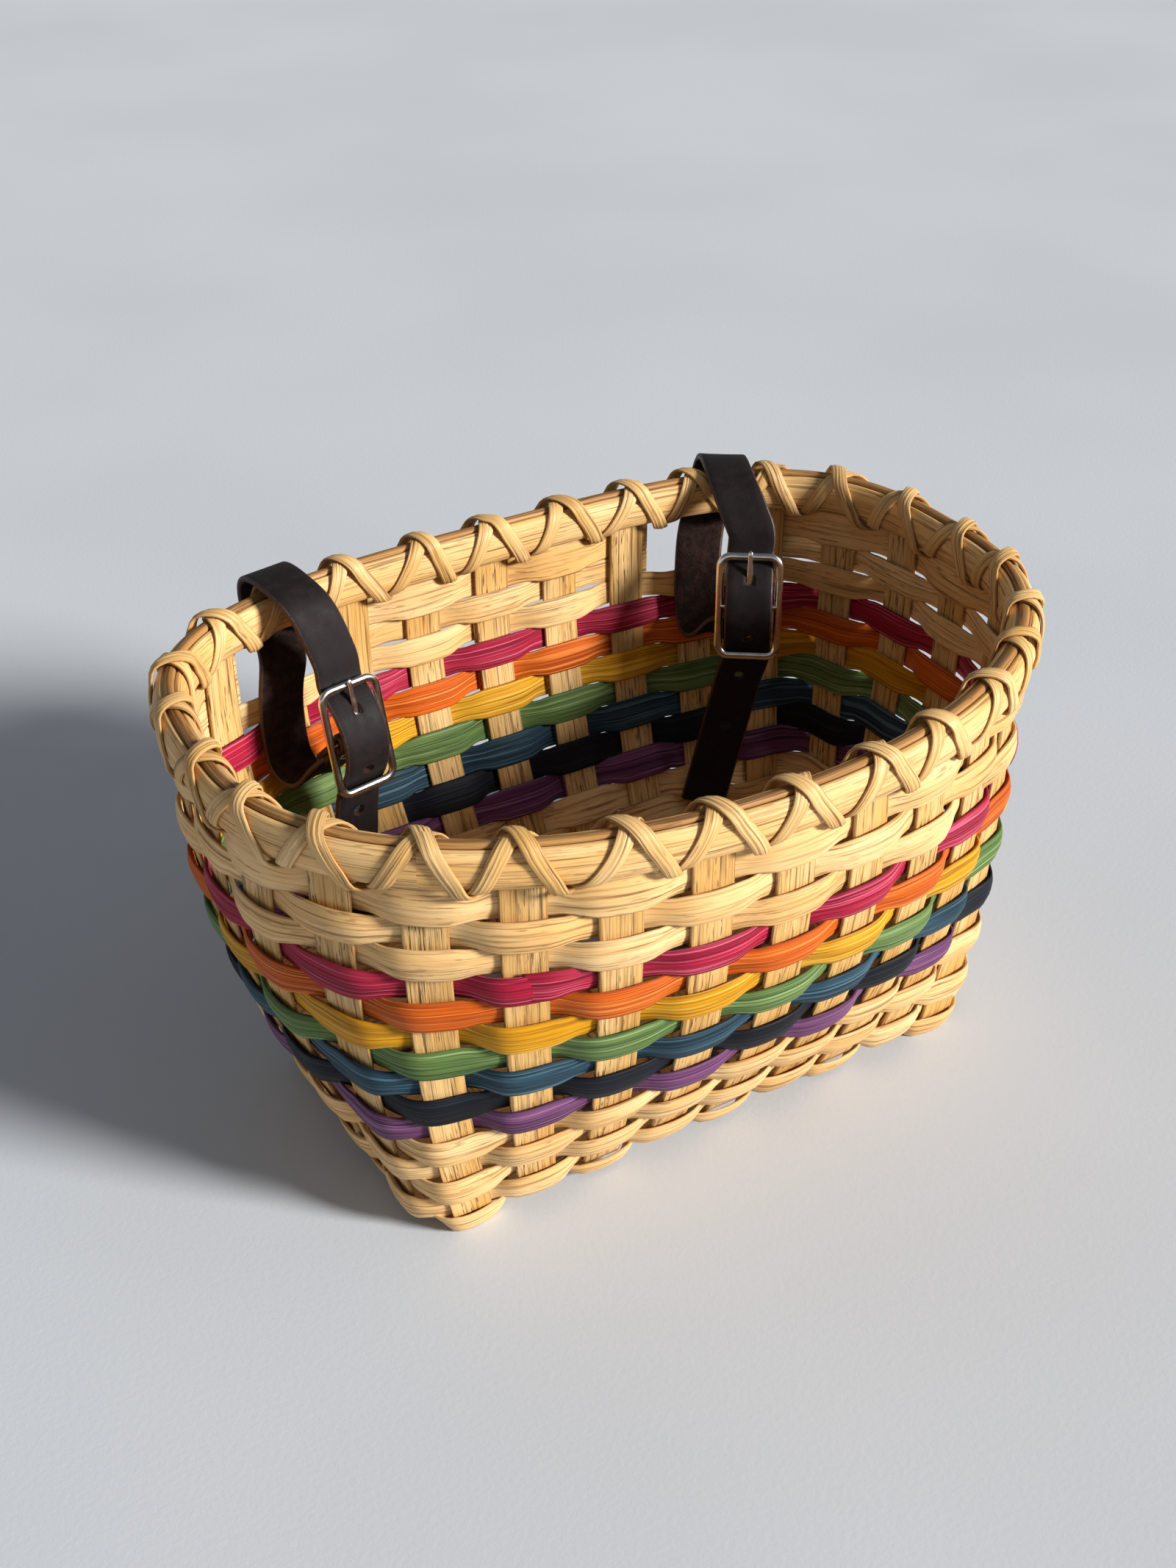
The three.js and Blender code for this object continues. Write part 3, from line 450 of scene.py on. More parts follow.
def natural_reed(name, *codes, lines, dashes=0.5):
    """Split reed: pale and honey stretches, dark lengthwise lines and dashes, darker along the rounded edges.
    """
    n = new_material(name)
    pale, honey, dark = map(paint, codes)
    fibre = n.noise(n.uv(24, 1150), 3, 0.6)
    line = n.noise(n.uv(14, 640), 3, 0.55)
    streak = n.noise(n.uv(7, 260), 3, 0.5)
    stretch = n.noise(n.uv(12, 40), 2, 0.5)
    dash = n.noise(n.uv(105, 1050), 2, 0.5)
    worn = n.noise(n.uv(18, 90), 2, 0.5)
    colour = n.mix(n.spread(stretch, 0.36, 0.66), pale, honey)
    colour = n.mix(n.spread(streak, 0.44, 0.66, 0, 0.6), colour, honey)
    colour = n.mix(n.spread(fibre, 0.48, 0.66, 0, 0.5), colour, dark)
    colour = n.mix(n.spread(line, 0.55, 0.67, 0, lines), colour, dark)
    marks = n.math("MULTIPLY", n.spread(dash, 0.57, 0.66), n.spread(worn, 0.38, 0.6))
    colour = n.mix(n.math("MULTIPLY", marks, dashes), colour, dark)
    # Darker along the rounded edges of each strip.
    colour = n.mix(n.spread(n.attribute("edge"), 0.84, 1.0, 0, 0.4), colour, dark)
    height = n.math("SUBTRACT", fibre, n.math("MULTIPLY", n.spread(line, 0.52, 0.7), 0.8))
    n.bump(height, 0.55, 0.0005)
    return n.finish(colour, n.spread(fibre, 0.3, 0.7, 0.42, 0.6), Specular_IOR_Level=0.35)


def dyed_reed(name, *codes):
    """Dyed reed: the dye takes unevenly, with thin deep and pale fibres all along."""
    n = new_material(name)
    dye, deep, light = map(paint, codes)
    fibre = n.noise(n.uv(13, 1350), 3, 0.6)
    pale = n.noise(n.uv(8, 1050), 3, 0.55)
    streak = n.noise(n.uv(7, 220), 3, 0.5)
    stretch = n.noise(n.uv(14, 50), 2, 0.5)
    colour = n.mix(n.spread(streak, 0.42, 0.66, 0, 0.6), dye, deep)
    colour = n.mix(n.spread(stretch, 0.45, 0.72, 0, 0.22), colour, light)
    colour = n.mix(n.spread(pale, 0.54, 0.62, 0, 0.75), colour, light)
    colour = n.mix(n.spread(fibre, 0.5, 0.6, 0, 0.95), colour, deep)
    # Darker along the rounded edges of each strip.
    colour = n.mix(n.spread(n.attribute("edge"), 0.85, 1.0, 0, 0.5), colour, deep)
    n.bump(n.math("SUBTRACT", n.math("MULTIPLY", pale, 0.6), fibre), 0.55, 0.0005)
    return n.finish(colour, n.spread(fibre, 0.3, 0.7, 0.5, 0.66), Specular_IOR_Level=0.22)


def leather_face():
    """Finished face of the straps: near-black brown, fine grain, light scratches."""
    n = new_material("leather_face")
    grain = n.add("ShaderNodeTexVoronoi", feature="SMOOTH_F1")
    n.set(grain, Scale=1900)
    n.link(n.position(), grain.inputs["Vector"])
    mottle = n.noise(n.position(), 4, 0.6, 190)
    scratch = n.noise(n.uv(60, 1100), 2, 0.5, 1, 1.5)
    colour = n.mix(n.spread(mottle, 0.35, 0.7), paint("151010"), paint("1f1717"))
    colour = n.mix(n.spread(scratch, 0.7, 0.78, 0, 0.3), colour, paint("4e403c"))
    height = n.math("ADD", grain.outputs["Distance"], n.math("MULTIPLY", mottle, 0.7))
    n.bump(height, 0.22, 0.0003)
    return n.finish(colour, n.spread(mottle, 0.3, 0.7, 0.62, 0.76), Specular_IOR_Level=0.2)


def leather_flesh():
    """Rough inner side of the straps."""
    n = new_material("leather_flesh")
    nap = n.noise(n.position(), 5, 0.7, 900)
    clump = n.noise(n.position(), 3, 0.6, 260)
    colour = n.mix(n.spread(clump, 0.35, 0.65), paint("1b100d"), paint("33201a"))
    colour = n.mix(n.spread(nap, 0.55, 0.72, 0, 0.45), colour, paint("4b3127"))
    n.bump(n.math("ADD", nap, clump), 0.9, 0.0012)
    return n.finish(colour, n.spread(nap, 0.3, 0.7, 0.85, 0.98), Specular_IOR_Level=0.2)


def leather_edge():
    """Burnished brown edges and hole walls."""
    n = new_material("leather_edge")
    layer = n.noise(n.position(), 4, 0.6, 700)
    colour = n.mix(n.spread(layer, 0.35, 0.7), paint("2c1a13"), paint("472a1e"))
    n.bump(layer, 0.4, 0.0005)
    return n.finish(colour, n.spread(layer, 0.3, 0.7, 0.45, 0.65))


def nickel():
    """Polished nickel wire with fine scratches and dulled spots."""
    n = new_material("nickel")
    scratch = n.noise(n.position(), 6, 0.7, 1600, 0.6)
    dull = n.noise(n.position(), 3, 0.6, 240)
    colour = n.mix(n.spread(dull, 0.4, 0.75), paint("e8e7e5"), paint("c9c7c4"))
    roughness = n.math("ADD", n.spread(dull, 0.4, 0.8, 0.16, 0.26), n.spread(scratch, 0.55, 0.8, 0, 0.08))
    n.bump(scratch, 0.01, 0.0001)
    return n.finish(colour, roughness, Metallic=1.0)


DYES = {
    "plum": ("6d3c66", "40203f", "9a7092"),
    "navy": ("0a0e17", "05070c", "212b39"),
    "teal": ("234050", "12242f", "587a89"),
    "green": ("5c763c", "3a522a", "98ae74"),
    "yellow": ("d09208", "9a6406", "ebbf50"),
    "orange": ("cc5b0a", "963c06", "ea8c42"),
    "raspberry": ("a51233", "690a20", "d86a83"),
}
REED = natural_reed("reed_natural", "f0cb92", "e3b16d", "84582a", lines=0.7, dashes=0.6)
STAKE_REED = natural_reed("reed_stake", "e4bd80", "d2a058", "64401c", lines=0.7, dashes=0.95)
RIM_REED = natural_reed("reed_rim", "f0c88b", "e1ae66", "7d5325", lines=0.75)
FILLER_REED = natural_reed("reed_filler", "b88a51", "a06f3a", "583716", lines=0.75)
LASH_REED = natural_reed("reed_lashing", "e8c186", "d7a863", "785126", lines=0.8)
DYED = {colour: dyed_reed(f"reed_{colour}", *codes) for colour, codes in DYES.items()}
GRAIN_ZONE, FLESH_ZONE, EDGE_ZONE = range(3)
LEATHER = (leather_face(), leather_flesh(), leather_edge())
NICKEL = nickel()


# Plan of the rim
def rim_plan(t):
    angle = 2 * math.pi * np.asarray(t) - math.pi / 2
    c, s = np.cos(angle), np.sin(angle)
    power = 2 / np.where(s < 0, FRONT_ROUNDNESS, BACK_ROUNDNESS)
    x = RIM_LENGTH / 2 * np.sign(c) * np.abs(c) ** power
    y = RIM_WIDTH / 2 * np.sign(s) * np.abs(s) ** power
    return np.stack([x, y, np.zeros_like(x)], axis=-1)


PLAN_SAMPLES = 4001
PLAN_SHARES = np.linspace(0, 1, PLAN_SAMPLES)
PLAN_RUN = run_along(rim_plan(PLAN_SHARES))


def rim_point(place):
    """Point of the rim's middle line at a place counted in stakes from the front left corner."""
    share = ((np.asarray(place, float) - CROSS_HALF) / ENDS) % 1
    return rim_plan(np.interp(share * PLAN_RUN[-1], PLAN_RUN, PLAN_SHARES))


def slope(value, half, power):
    """Share of one axis in the normal of a rounded outline."""
    return np.sign(value) * np.abs(value / half) ** power / half


def rim_along(point):
    """Direction of the rim at a point of its middle line."""
    x, y = point[..., 0], point[..., 1]
    power = np.where(y < 0, FRONT_ROUNDNESS, BACK_ROUNDNESS) - 1
    along_x, along_y = -slope(y, RIM_WIDTH / 2, power), slope(x, RIM_LENGTH / 2, power)
    return unit(np.stack([along_x, along_y, np.zeros_like(x)], axis=-1))


# Stakes: where each end stands on the base and how it rises along the wall
def base_lift(x, y):
    along_x = min(1, abs(x) / (CROSS_HALF * CROSS_PITCH))
    along_y = min(1, abs(y) / (LONG_HALF * LONG_PITCH))
    return BASE_RISE * (1 - (along_x * along_y) ** 2)


def base_weave(i, j):
    return -WEAVE_SHIFT if (i + j) % 2 == 0 else WEAVE_SHIFT


WALL_STEPS = 4
STAKE_STEPS = 2


class StakeEnd:
    """One end of a stake, with its smooth run up the wall, WALL_STEPS samples for every row."""

    def __init__(self, k, place, pitch, reach, along, out):
        self.along, self.out = np.array([*along, 0.0]), np.array([*out, 0.0])
        foot = self.along * place * pitch + self.out * reach
        self.weave = base_weave(place, LONG_HALF) if out[0] == 0 else -base_weave(CROSS_HALF, place)
        self.lift = base_lift(foot[0], foot[1])
        self.foot = foot + [BASE_RIGHT, -BASE_FORWARD, 0]
        self.rim = rim_point(k)
        self.rim_along = rim_along(self.rim)
        places = [self.start()] + [self.wall(m + 0.5) for m in range(ROWS)]
        self.run = smooth_curve([p for p, _ in places], WALL_STEPS)
        self.sides = unit(between_samples([a for _, a in places], WALL_STEPS))
        self.up = unit(np.gradient(self.run, axis=0))

    def wall(self, level):
        share = min(1, (level + FLARE_LEAD) / (ROWS - 1 + FLARE_LEAD))
        flare = share + WALL_BULGE * share * (1 - share)
        point = self.foot + (self.rim - self.foot) * flare
        fade = max(0, 1 - (level - 0.5) / (ROWS - 1))
        point[2] = BASE_HEIGHT + BEND_UP + (level - 0.5) * ROW_PITCH + self.lift * fade
        return point, unit(self.along + (self.rim_along - self.along) * share)

    def start(self):
        """Where the stake leaves the base and begins to bend up."""
        bend, _ = self.wall(0.5)
        reach = bend @ self.out - foot_out(BEND_UP - self.weave)
        point = self.foot + self.out * (reach - self.foot @ self.out)
        point[2] = bend[2] - BEND_UP + self.weave
        return point, self.along

    def at(self, row):
        """Point, direction along the row and direction up the wall where a row crosses."""
        m = int((row + 0.5) * WALL_STEPS)
        return self.run[m], self.sides[m], self.up[m]

    def pitch(self, row):
        """Length of wall that a row covers."""
        m = int(row * WALL_STEPS)
        return np.linalg.norm(self.run[m + WALL_STEPS] - self.run[m])


WALLS = [
    (CROSS_STAKES, CROSS_PITCH, BASE_Y, (1, 0), (0, -1)),
    (LONG_STAKES, LONG_PITCH, BASE_X, (0, 1), (1, 0)),
    (CROSS_STAKES, CROSS_PITCH, BASE_Y, (-1, 0), (0, 1)),
    (LONG_STAKES, LONG_PITCH, BASE_X, (0, -1), (-1, 0)),
]
stake_ends = []
for count, pitch, reach, along, out in WALLS:
    for m in range(count):
        stake_ends.append(StakeEnd(len(stake_ends), m - (count - 1) / 2, pitch, reach, along, out))
BACK_FIRST = CROSS_STAKES + LONG_STAKES
LEFT_FIRST = BACK_FIRST + CROSS_STAKES
slot_ends = [int(BACK_FIRST + CROSS_HALF - SLOT_STAKE), int(BACK_FIRST + CROSS_HALF + SLOT_STAKE)]


def wall_run(k, flip):
    """Points of a stake end from the base to its top, and the direction across the strip at each."""
    end = stake_ends[k]
    if k in slot_ends:
        stop = int((ROWS - SLOTTED_ROWS) * WALL_STEPS) + 1
        return end.run[:stop], end.sides[:stop] * flip
    top = np.array([end.rim[0], end.rim[1], STAKE_TOP])
    return np.vstack([end.run, top]), np.vstack([end.sides, end.rim_along]) * flip


def base_run(count, weave_at, point_at):
    """Points of a stake in the base: level over every crossing, a step up or down in between."""
    places = np.arange(count) - (count - 1) / 2
    steps = (-FLAT_HALF, 0, FLAT_HALF)
    return [point_at(c, step, BASE_HEIGHT + weave_at(c)) for c in places for step in steps]


def stake(node, first, last, middle, across):
    path_a, side_a = wall_run(first, 1)
    path_b, side_b = wall_run(last, -1)
    points = np.vstack([path_a[::-1], middle, path_b])
    sides = np.vstack([side_a[::-1], np.tile(across, (len(middle), 1)), side_b])
    profile = grooved(strip_profile(STAKE_WIDTH, STAKE_THICKNESS, STAKE_CROWN, front=11, back=6),
                      draws.uniform(-STAKE_GROOVE_REACH, STAKE_GROOVE_REACH, STAKE_GROOVES), **STAKE_GROOVE)
    obj = sweep(f"reed_{node}", smooth_curve(points, STAKE_STEPS), unit(between_samples(sides, STAKE_STEPS)),
                profile, start=grain_start())
    dress(obj, node, "basket", "reed_natural", STAKE_REED)


for m in range(CROSS_STAKES):
    i = m - CROSS_HALF
    x = i * CROSS_PITCH
    middle = base_run(
        LONG_STAKES,
        lambda j: base_lift(x, j * LONG_PITCH) + base_weave(i, j),
        lambda j, step, z: (x + BASE_RIGHT, j * LONG_PITCH + step - BASE_FORWARD, z),
    )
    stake(f"cross_stake_{m + 1}", m, BACK_FIRST + CROSS_STAKES - 1 - m, middle, (1, 0, 0))
for m in range(LONG_STAKES):
    j = m - LONG_HALF
    y = j * LONG_PITCH
    middle = base_run(
        CROSS_STAKES,
        lambda i: base_lift(i * CROSS_PITCH, y) - base_weave(i, j),
        lambda i, step, z: (i * CROSS_PITCH + step + BASE_RIGHT, y - BASE_FORWARD, z),
    )
    stake(f"long_stake_{m + 1}", LEFT_FIRST + LONG_STAKES - 1 - m, CROSS_STAKES + m, middle, (0, -1, 0))


# Weaver rows: bowed over every stake, crossing from one face of the wall to the other in between
ROW_STEPS = 6
ROW_FIT = 0.985
ROW_SWELL = 0.185
ROW_SIT = 0.1
ROW_SWAY = 0.2
TOP_REACH = 2.9
LAP_START = -1.5
LAP_OVER = (0.1, 0.65)
LAP_UNDER = -0.65
LAP_SHARE = 0.55
LAP_TIP = 0.22
LAP_SWAY = 0.9
END_REACH = 2.5
FRONT_LAPS = {11: 1}
BACK_LAP = 17
FOOT_STAND = 0.6
FOOT_PUSH = 1.5
FOOT_RAISE = 0.8
SLOT_STOPS = [k + step for k in slot_ends for step in (-1, 1)]


def foot_crossing(end):
    """Where the lowest row passes outside a stake: turned upright and pushed out, down to the floor."""
    point, along, up = end.at(0)
    up = unit(up + FOOT_STAND * (end.at(1)[2] - up))
    out = unit(np.cross(along, up) * (1, 1, 0))
    return point + out * FOOT_PUSH + UP * FOOT_RAISE, along, up


def weaver(node, row, ends, side_at, colour, lapped):
    """One row, as high as the pitch of the rows along the wall, drawn in where it passes between two stakes.

    A row that goes all round starts on the middle of a stake and tucks its other end under that start.
    """
    points, ups, heights, thickness = [], [], [], []
    for m, k in enumerate(ends):
        end, side = stake_ends[k], side_at(k)
        point, along, up = foot_crossing(end) if row == 0 and side > 0 else end.at(row)
        out = unit(np.cross(along, up))
        sway = draws.normal(0, ROW_SWAY)
        crowded = k in SLOT_STOPS and row >= ROWS - SLOTTED_ROWS - 1
        steps, offsets, shares = [-FLAT_HALF, FLAT_HALF], [0, 0], [1, 1]
        first, last = m == 0, m == len(ends) - 1
        if first and lapped:
            steps[0], sway = LAP_START, LAP_SWAY
            offsets, shares = LAP_OVER, (LAP_TIP, LAP_SHARE)
        elif first:
            steps[0] -= END_REACH
        elif last and lapped:
            offsets[1], shares[1] = LAP_UNDER, LAP_SHARE
        elif last:
            steps[1] += END_REACH
        for step, offset, share in zip(steps, offsets, shares):
            points.append(point + along * step + out * side * (ROW_OFFSET - ROW_SIT + offset) + up * sway)
            ups.append(up)
            heights.append([end.pitch(row), 0 if crowded else ROW_SWELL])
            thickness.append([share])
    path = smooth_curve(points, ROW_STEPS)
    across = unit(between_samples(ups, ROW_STEPS))
    passing = np.sin(math.pi * np.arange(ROW_STEPS) / ROW_STEPS) ** 2
    passing = np.tile(np.concatenate([np.zeros(ROW_STEPS), passing]), len(ends))[:len(path)]
    pitch, swell = between_samples(heights, ROW_STEPS).T
    height = pitch * (ROW_FIT + swell * (1 - passing))
    if row == ROWS - 1:
        reach = TOP_REACH * (1 - passing / 2)
        path = path + across * reach[:, None] / 2
        height = height + reach
    profile = grooved(strip_profile(ROW_HEIGHT, ROW_THICKNESS, ROW_CROWN, front=11, back=5, edge=ROW_EDGE),
                      draws.uniform(-ROW_GROOVE_REACH, ROW_GROOVE_REACH, ROW_GROOVES), **ROW_GROOVE)
    obj = sweep(f"reed_{node}", path, across, profile, floor=0.0, start=grain_start(),
                grow=np.column_stack([height / ROW_HEIGHT, between_samples(thickness, ROW_STEPS)]))
    dress(obj, node, "basket", f"reed_{colour}", DYED.get(colour, REED))


def between(first, last):
    return [(first + m) % ENDS for m in range((last - first) % ENDS + 1)]


for row, colour in enumerate(ROW_COLOURS):
    node = f"weaver_{row + 1:02d}_{colour}"
    plain = {k: 1 if (k + row) % 2 == 0 else -1 for k in range(ENDS)}
    if row < ROWS - SLOTTED_ROWS:
        lap = FRONT_LAPS.get(row, BACK_LAP + (BACK_LAP + row) % 2)
        weaver(node, row, [(lap + m) % ENDS for m in range(ENDS + 1)], plain.get, colour, True)
        continue
    stopped = {**plain, **{k: 1 for k in SLOT_STOPS}}
    weaver(f"{node}_front", row, between(SLOT_STOPS[3], SLOT_STOPS[0]), stopped.get, colour, False)
    weaver(f"{node}_back", row, between(SLOT_STOPS[1], SLOT_STOPS[2]), stopped.get, colour, False)


# Rim: two half-round bands, a filler reed in the groove between them, and two lashings
RIM_SAMPLES = 420
BAND_POINTS = 19
FILLER_SIDES = 14
OUTLINE_SAMPLES = 721
TURN_SAMPLES = 32
HUMP_REACH, HUMP_FADE = 0.19, 0.1
LASH_WAVES = (5, 11, 17, 24)
LASH_SWAY = (0.02, 0.05)
LASH_PHASES = 6
rim_places = np.arange(RIM_SAMPLES) * ENDS / RIM_SAMPLES
rim_line = rim_point(rim_places) + [0, 0, RIM_CENTRE]


def fuller(value):
    return np.sign(value) * np.abs(value) ** (2 / RIM_FULLNESS)


def band_profile(side):
    low = -math.acos((RIM_INSIDE / RIM_OUTSIDE) ** (RIM_FULLNESS / 2))
    high = math.acos(((RIM_INSIDE + FILLER_GROOVE) / RIM_OUTSIDE) ** (RIM_FULLNESS / 2))
    angle = np.linspace(low, high, BAND_POINTS)
    outline = np.column_stack([RIM_HEIGHT / 2 * fuller(np.sin(angle)), RIM_OUTSIDE * fuller(np.cos(angle))])
    outline = np.vstack([outline, [RIM_HEIGHT / 2 - FILLER_GROOVE, RIM_INSIDE]])
    return outline[::-1] if side > 0 else outline * [1, -1]


for node, side in (("outer_rim", 1), ("inner_rim", -1)):
    band = sweep(f"reed_{node}", rim_line, UP, band_profile(side), True, start=grain_start())
    dress(band, node, "basket", "reed_natural", RIM_REED)

filler_line = rim_line + UP * (RIM_HEIGHT / 2 - FILLER_GROOVE / 3)
filler_width = 2 * (RIM_INSIDE + FILLER_GROOVE - FILLER_PLAY)
filler = sweep("reed_rim_filler", filler_line, UP,
               round_profile(FILLER_CROWN + FILLER_GROOVE, filler_width, FILLER_SIDES),
               True, start=FILLER_GRAIN)
dress(filler, "rim_filler", "basket", "reed_filler", FILLER_REED)


def hump(phase):
    """One where the two lashings cross, above and below the rim, and nothing on its faces."""
    away = np.abs((phase * 2 + 0.5) % 1 - 0.5) / 2
    t = np.clip((HUMP_REACH - away) / HUMP_FADE, 0, 1)
    return t * t * (3 - 2 * t)


def lashing(node, turn, layer):
    """A reed that winds once round the rim for every stake, crossing its twin above each stake."""
    count = ENDS * TURN_SAMPLES
    turns = np.arange(count) / TURN_SAMPLES
    phase = turns % 1
    sway = sum(
        draws.uniform(*LASH_SWAY) * np.sin(2 * math.pi * wave * turns / ENDS + draws.uniform(0, LASH_PHASES))
        for wave in LASH_WAVES
    )
    offset = LASH_SEAT + LASH_THICKNESS / 2 + layer * hump(phase) * (LASH_THICKNESS + LASH_SEAT)
    fine = np.linspace(0, 1, OUTLINE_SAMPLES)
    ring = math.pi / 2 - 2 * math.pi * fine
    wide, tall = RIM_OUTSIDE, (RIM_HEIGHT + FILLER_CROWN) / 2
    outline = np.column_stack([wide * fuller(np.cos(ring)), tall * fuller(np.sin(ring))])
    run = run_along(outline)
    share = np.interp(phase * run[-1], run, fine)
    angle = math.pi / 2 - 2 * math.pi * share
    n = (wide + offset) * fuller(np.cos(angle))
    z = (tall + offset) * fuller(np.sin(angle))
    lean = unit(np.column_stack([slope(n, wide + offset, RIM_FULLNESS - 1),
                                 slope(z, tall + offset, RIM_FULLNESS - 1)]))
    middle = rim_point(turn * (turns + sway))
    out = np.cross(rim_along(middle), UP)
    path = middle + out * n[:, None] + UP * (RIM_MIDDLE + z)[:, None]
    normal = out * lean[:, :1] + UP * lean[:, 1:]
    tangent = unit(np.roll(path, -1, 0) - np.roll(path, 1, 0))
    profile = strip_profile(LASH_WIDTH, LASH_THICKNESS, LASH_CROWN, front=15)
    profile = grooved(profile, LASH_GROOVES, **LASH_GROOVE)
    obj = sweep(f"reed_{node}", path, unit(np.cross(normal, tangent)), profile, True, start=grain_start())
    dress(obj, node, "basket", "reed_lashing", LASH_REED)


lashing("lashing_right", 1, 1)
lashing("lashing_left", -1, 0)

# Straps: built in axes of their own, x along the rim, y outwards and z up from the rim's middle
STRAP_HALF = STRAP_THICKNESS / 2
BAR_REACH = BUCKLE_HEIGHT / 2 - WIRE / 2
BEHIND_BAR = WIRE / 2 + BUCKLE_PLAY + STRAP_HALF
FOLD_RADIUS = WIRE / 2 + FOLD_GAP + STRAP_HALF
LAYER_HALF = STRAP_HALF + FOLD_GAP / 2
FRONT_BULGE = FOLD_RADIUS + FOLD_GAP + STRAP_THICKNESS
TONGUE_BORE = WIRE / 2 + FOLD_GAP
STRAP_STEPS = 6
TAIL_STEPS = 14
FACE_POINTS = 7
STRAP_PROFILE = strip_profile(STRAP_WIDTH, STRAP_THICKNESS, 0.0, FACE_POINTS, FACE_POINTS, LEATHER_EDGE)
EDGE_FACES = [EDGE_ZONE] * (len(EDGE_ANGLES[0]) + 1)
STRAP_ZONES = [GRAIN_ZONE] * (FACE_POINTS - 1) + EDGE_FACES + [FLESH_ZONE] * (FACE_POINTS - 1) + EDGE_FACES
joints = {joint["name"]: joint for joint in frame["joints"]}


def eased(path, reaches):
    """The path in steps of a millimetre, each coordinate smoothed over its reach, with both ends kept."""
    run = run_along(path)
    even = np.linspace(0, run[-1], int(run[-1]))
    columns = []
    for values, reach in zip(path.T, reaches):
        v = np.interp(even, run, values)
        span = int(3 * reach)
        padded = np.concatenate([2 * v[0] - v[span:0:-1], v, 2 * v[-1] - v[-2:-span - 2:-1]])
        weights = np.exp(-0.5 * (np.arange(-span, span + 1) / reach) ** 2)
        columns.append(np.convolve(padded, weights / weights.sum(), "valid"))
    return np.column_stack(columns)


class Strap:
    """Places along one strap."""

    def __init__(self, side):
        hang = STRAPS[side]
        self.turn, self.drop, self.loop = hang["turn"], hang["drop"], hang["loop"]
        self.buckle, self.rear, self.tip = hang["buckle"], hang["rear"], hang["tip"]
        swing = joints[f"{side}_strap_swing"]
        x = -Vector(swing["axis"]).normalized()
        axes = Matrix((x, UP_VECTOR.cross(x), UP_VECTOR)).transposed().to_4x4()
        self.place = Matrix.Translation(Vector(swing["pos_m"])) @ axes
        reach = RIM_OUTSIDE + STRAP_WIDTH / 2 * math.tan(self.turn)
        height = RIM_TOP + FILLER_CROWN - RIM_MIDDLE
        wall = ROW_OFFSET + ROW_THICKNESS / 2 + REAR_ROOM + STRAP_HALF
        self.radius = max(reach, height) + STRAP_LASH_ROOM + STRAP_ROOM + STRAP_HALF
        self.crest = height + STRAP_LASH_ROOM + CREST_ROOM + STRAP_HALF
        self.inset = (wall + (STRAP_WIDTH / 2 - self.rear) * math.sin(self.turn)) / math.cos(self.turn)
        self.buckle_place = self.turned(self.from_buckle(0, 0), BUCKLE_TILT)
        self.rivet_place = self.turned(self.from_fold(RIVET_REACH, 0), FOLD_SLOPE)

    def turned(self, point, angle):
        """Axes at a point beside the buckle, leaning forward by an angle."""
        place = Matrix.Translation(MM * Vector((self.buckle, *point)))
        return self.place @ place @ Matrix.Rotation(-angle, 4, "X")

    def from_buckle(self, up, front):
        """Place in the strap's axes of a point given along the buckle and in front of it."""
        s, c = math.sin(BUCKLE_TILT), math.cos(BUCKLE_TILT)
        return -BUCKLE_INSET + up * s - front * c, -self.drop + up * c + front * s

    def from_fold(self, reach, side):
        """Place of a point given along the folded end, away from the bar, and to one side of it."""
        s, c = math.sin(FOLD_SLOPE), math.cos(FOLD_SLOPE)
        return -BUCKLE_INSET + reach * c + side * s, -self.drop - reach * s + side * c

    def path(self):
        """From the folded end back and up, out through the slot, over the rim and down through the buckle."""
        reaches = (FLAP_REACH, RIVET_REACH, RIVET_REACH - RIVET_MARGIN)
        fold = [self.from_fold(reach, LAYER_HALF) for reach in reaches]
        fold += [self.from_fold(FOLD_RADIUS * math.cos(a), FOLD_RADIUS * math.sin(a))
                 for a in np.radians(np.linspace(*FOLD_TURN, 7))]
        fold += [self.from_fold(RIVET_REACH + step, -LAYER_HALF) for step in (-RIVET_MARGIN, 0, RIVET_MARGIN)]
        bend = (-self.inset - fold[-1][0]) / 2
        loop = [(bend * math.cos(a) - bend - self.inset, bend * math.sin(a) + bend - self.loop)
                for a in np.radians(np.linspace(-90, 0, 4))]
        loop += [(-self.inset + STRAP_HALF, -2 * self.radius),
                 (-self.inset / 2, -self.radius - 2 * STRAP_THICKNESS)]
        ahead = self.rear + (self.buckle - self.rear) * CROSS_FRONT
        over = []
        for share in np.linspace(0, 1, 10):
            angle = math.radians(ARCH_START + ARCH_SWEEP * share)
            y, z = [math.copysign(abs(v) ** (2 / ARCH_FULLNESS), v)
                    for v in (math.cos(angle), math.sin(angle))]
            x = CROSS_BACK + (ahead - CROSS_BACK) * share
            over.append((x, y * self.radius, z * (self.crest if z > 0 else self.radius)))
        front = [self.from_buckle(1.5 * BAR_REACH, -BEHIND_BAR)]
        for share in np.linspace(1, -1, 9):
            bulge = FRONT_BULGE - (FRONT_BULGE + BEHIND_BAR) * share ** 2
            front.append(self.from_buckle(share * BAR_REACH, bulge))
        points = [(self.buckle, *p) for p in fold] + [(self.rear, *p) for p in loop[:-1]]
        points += [(max(self.rear, SLOT_SIDE), *loop[-1]), *over]
        nearing = (3 * ahead + 2 * self.buckle) / 5
        points += [(nearing, -BUCKLE_INSET / 2, self.radius / 2)]
        points += [(self.buckle, *p) for p in front]
        curve = smooth_curve(points, STRAP_STEPS)
        first, last = (len(fold) - 1) * STRAP_STEPS, (len(points) - len(front)) * STRAP_STEPS
        round_rim = eased(curve[first:last + 1], (EASE_SIDEWAYS, EASE, EASE))
        return np.vstack([curve[:first], round_rim, curve[last + 1:]])

    def tail_path(self, end, run):
        """From the cut below the buckle, where the strap runs in direction run, to the loose end."""
        neck = end + run * (TAIL_GAP + TAIL_BEND / 3)
        begin = end + run * TAIL_GAP

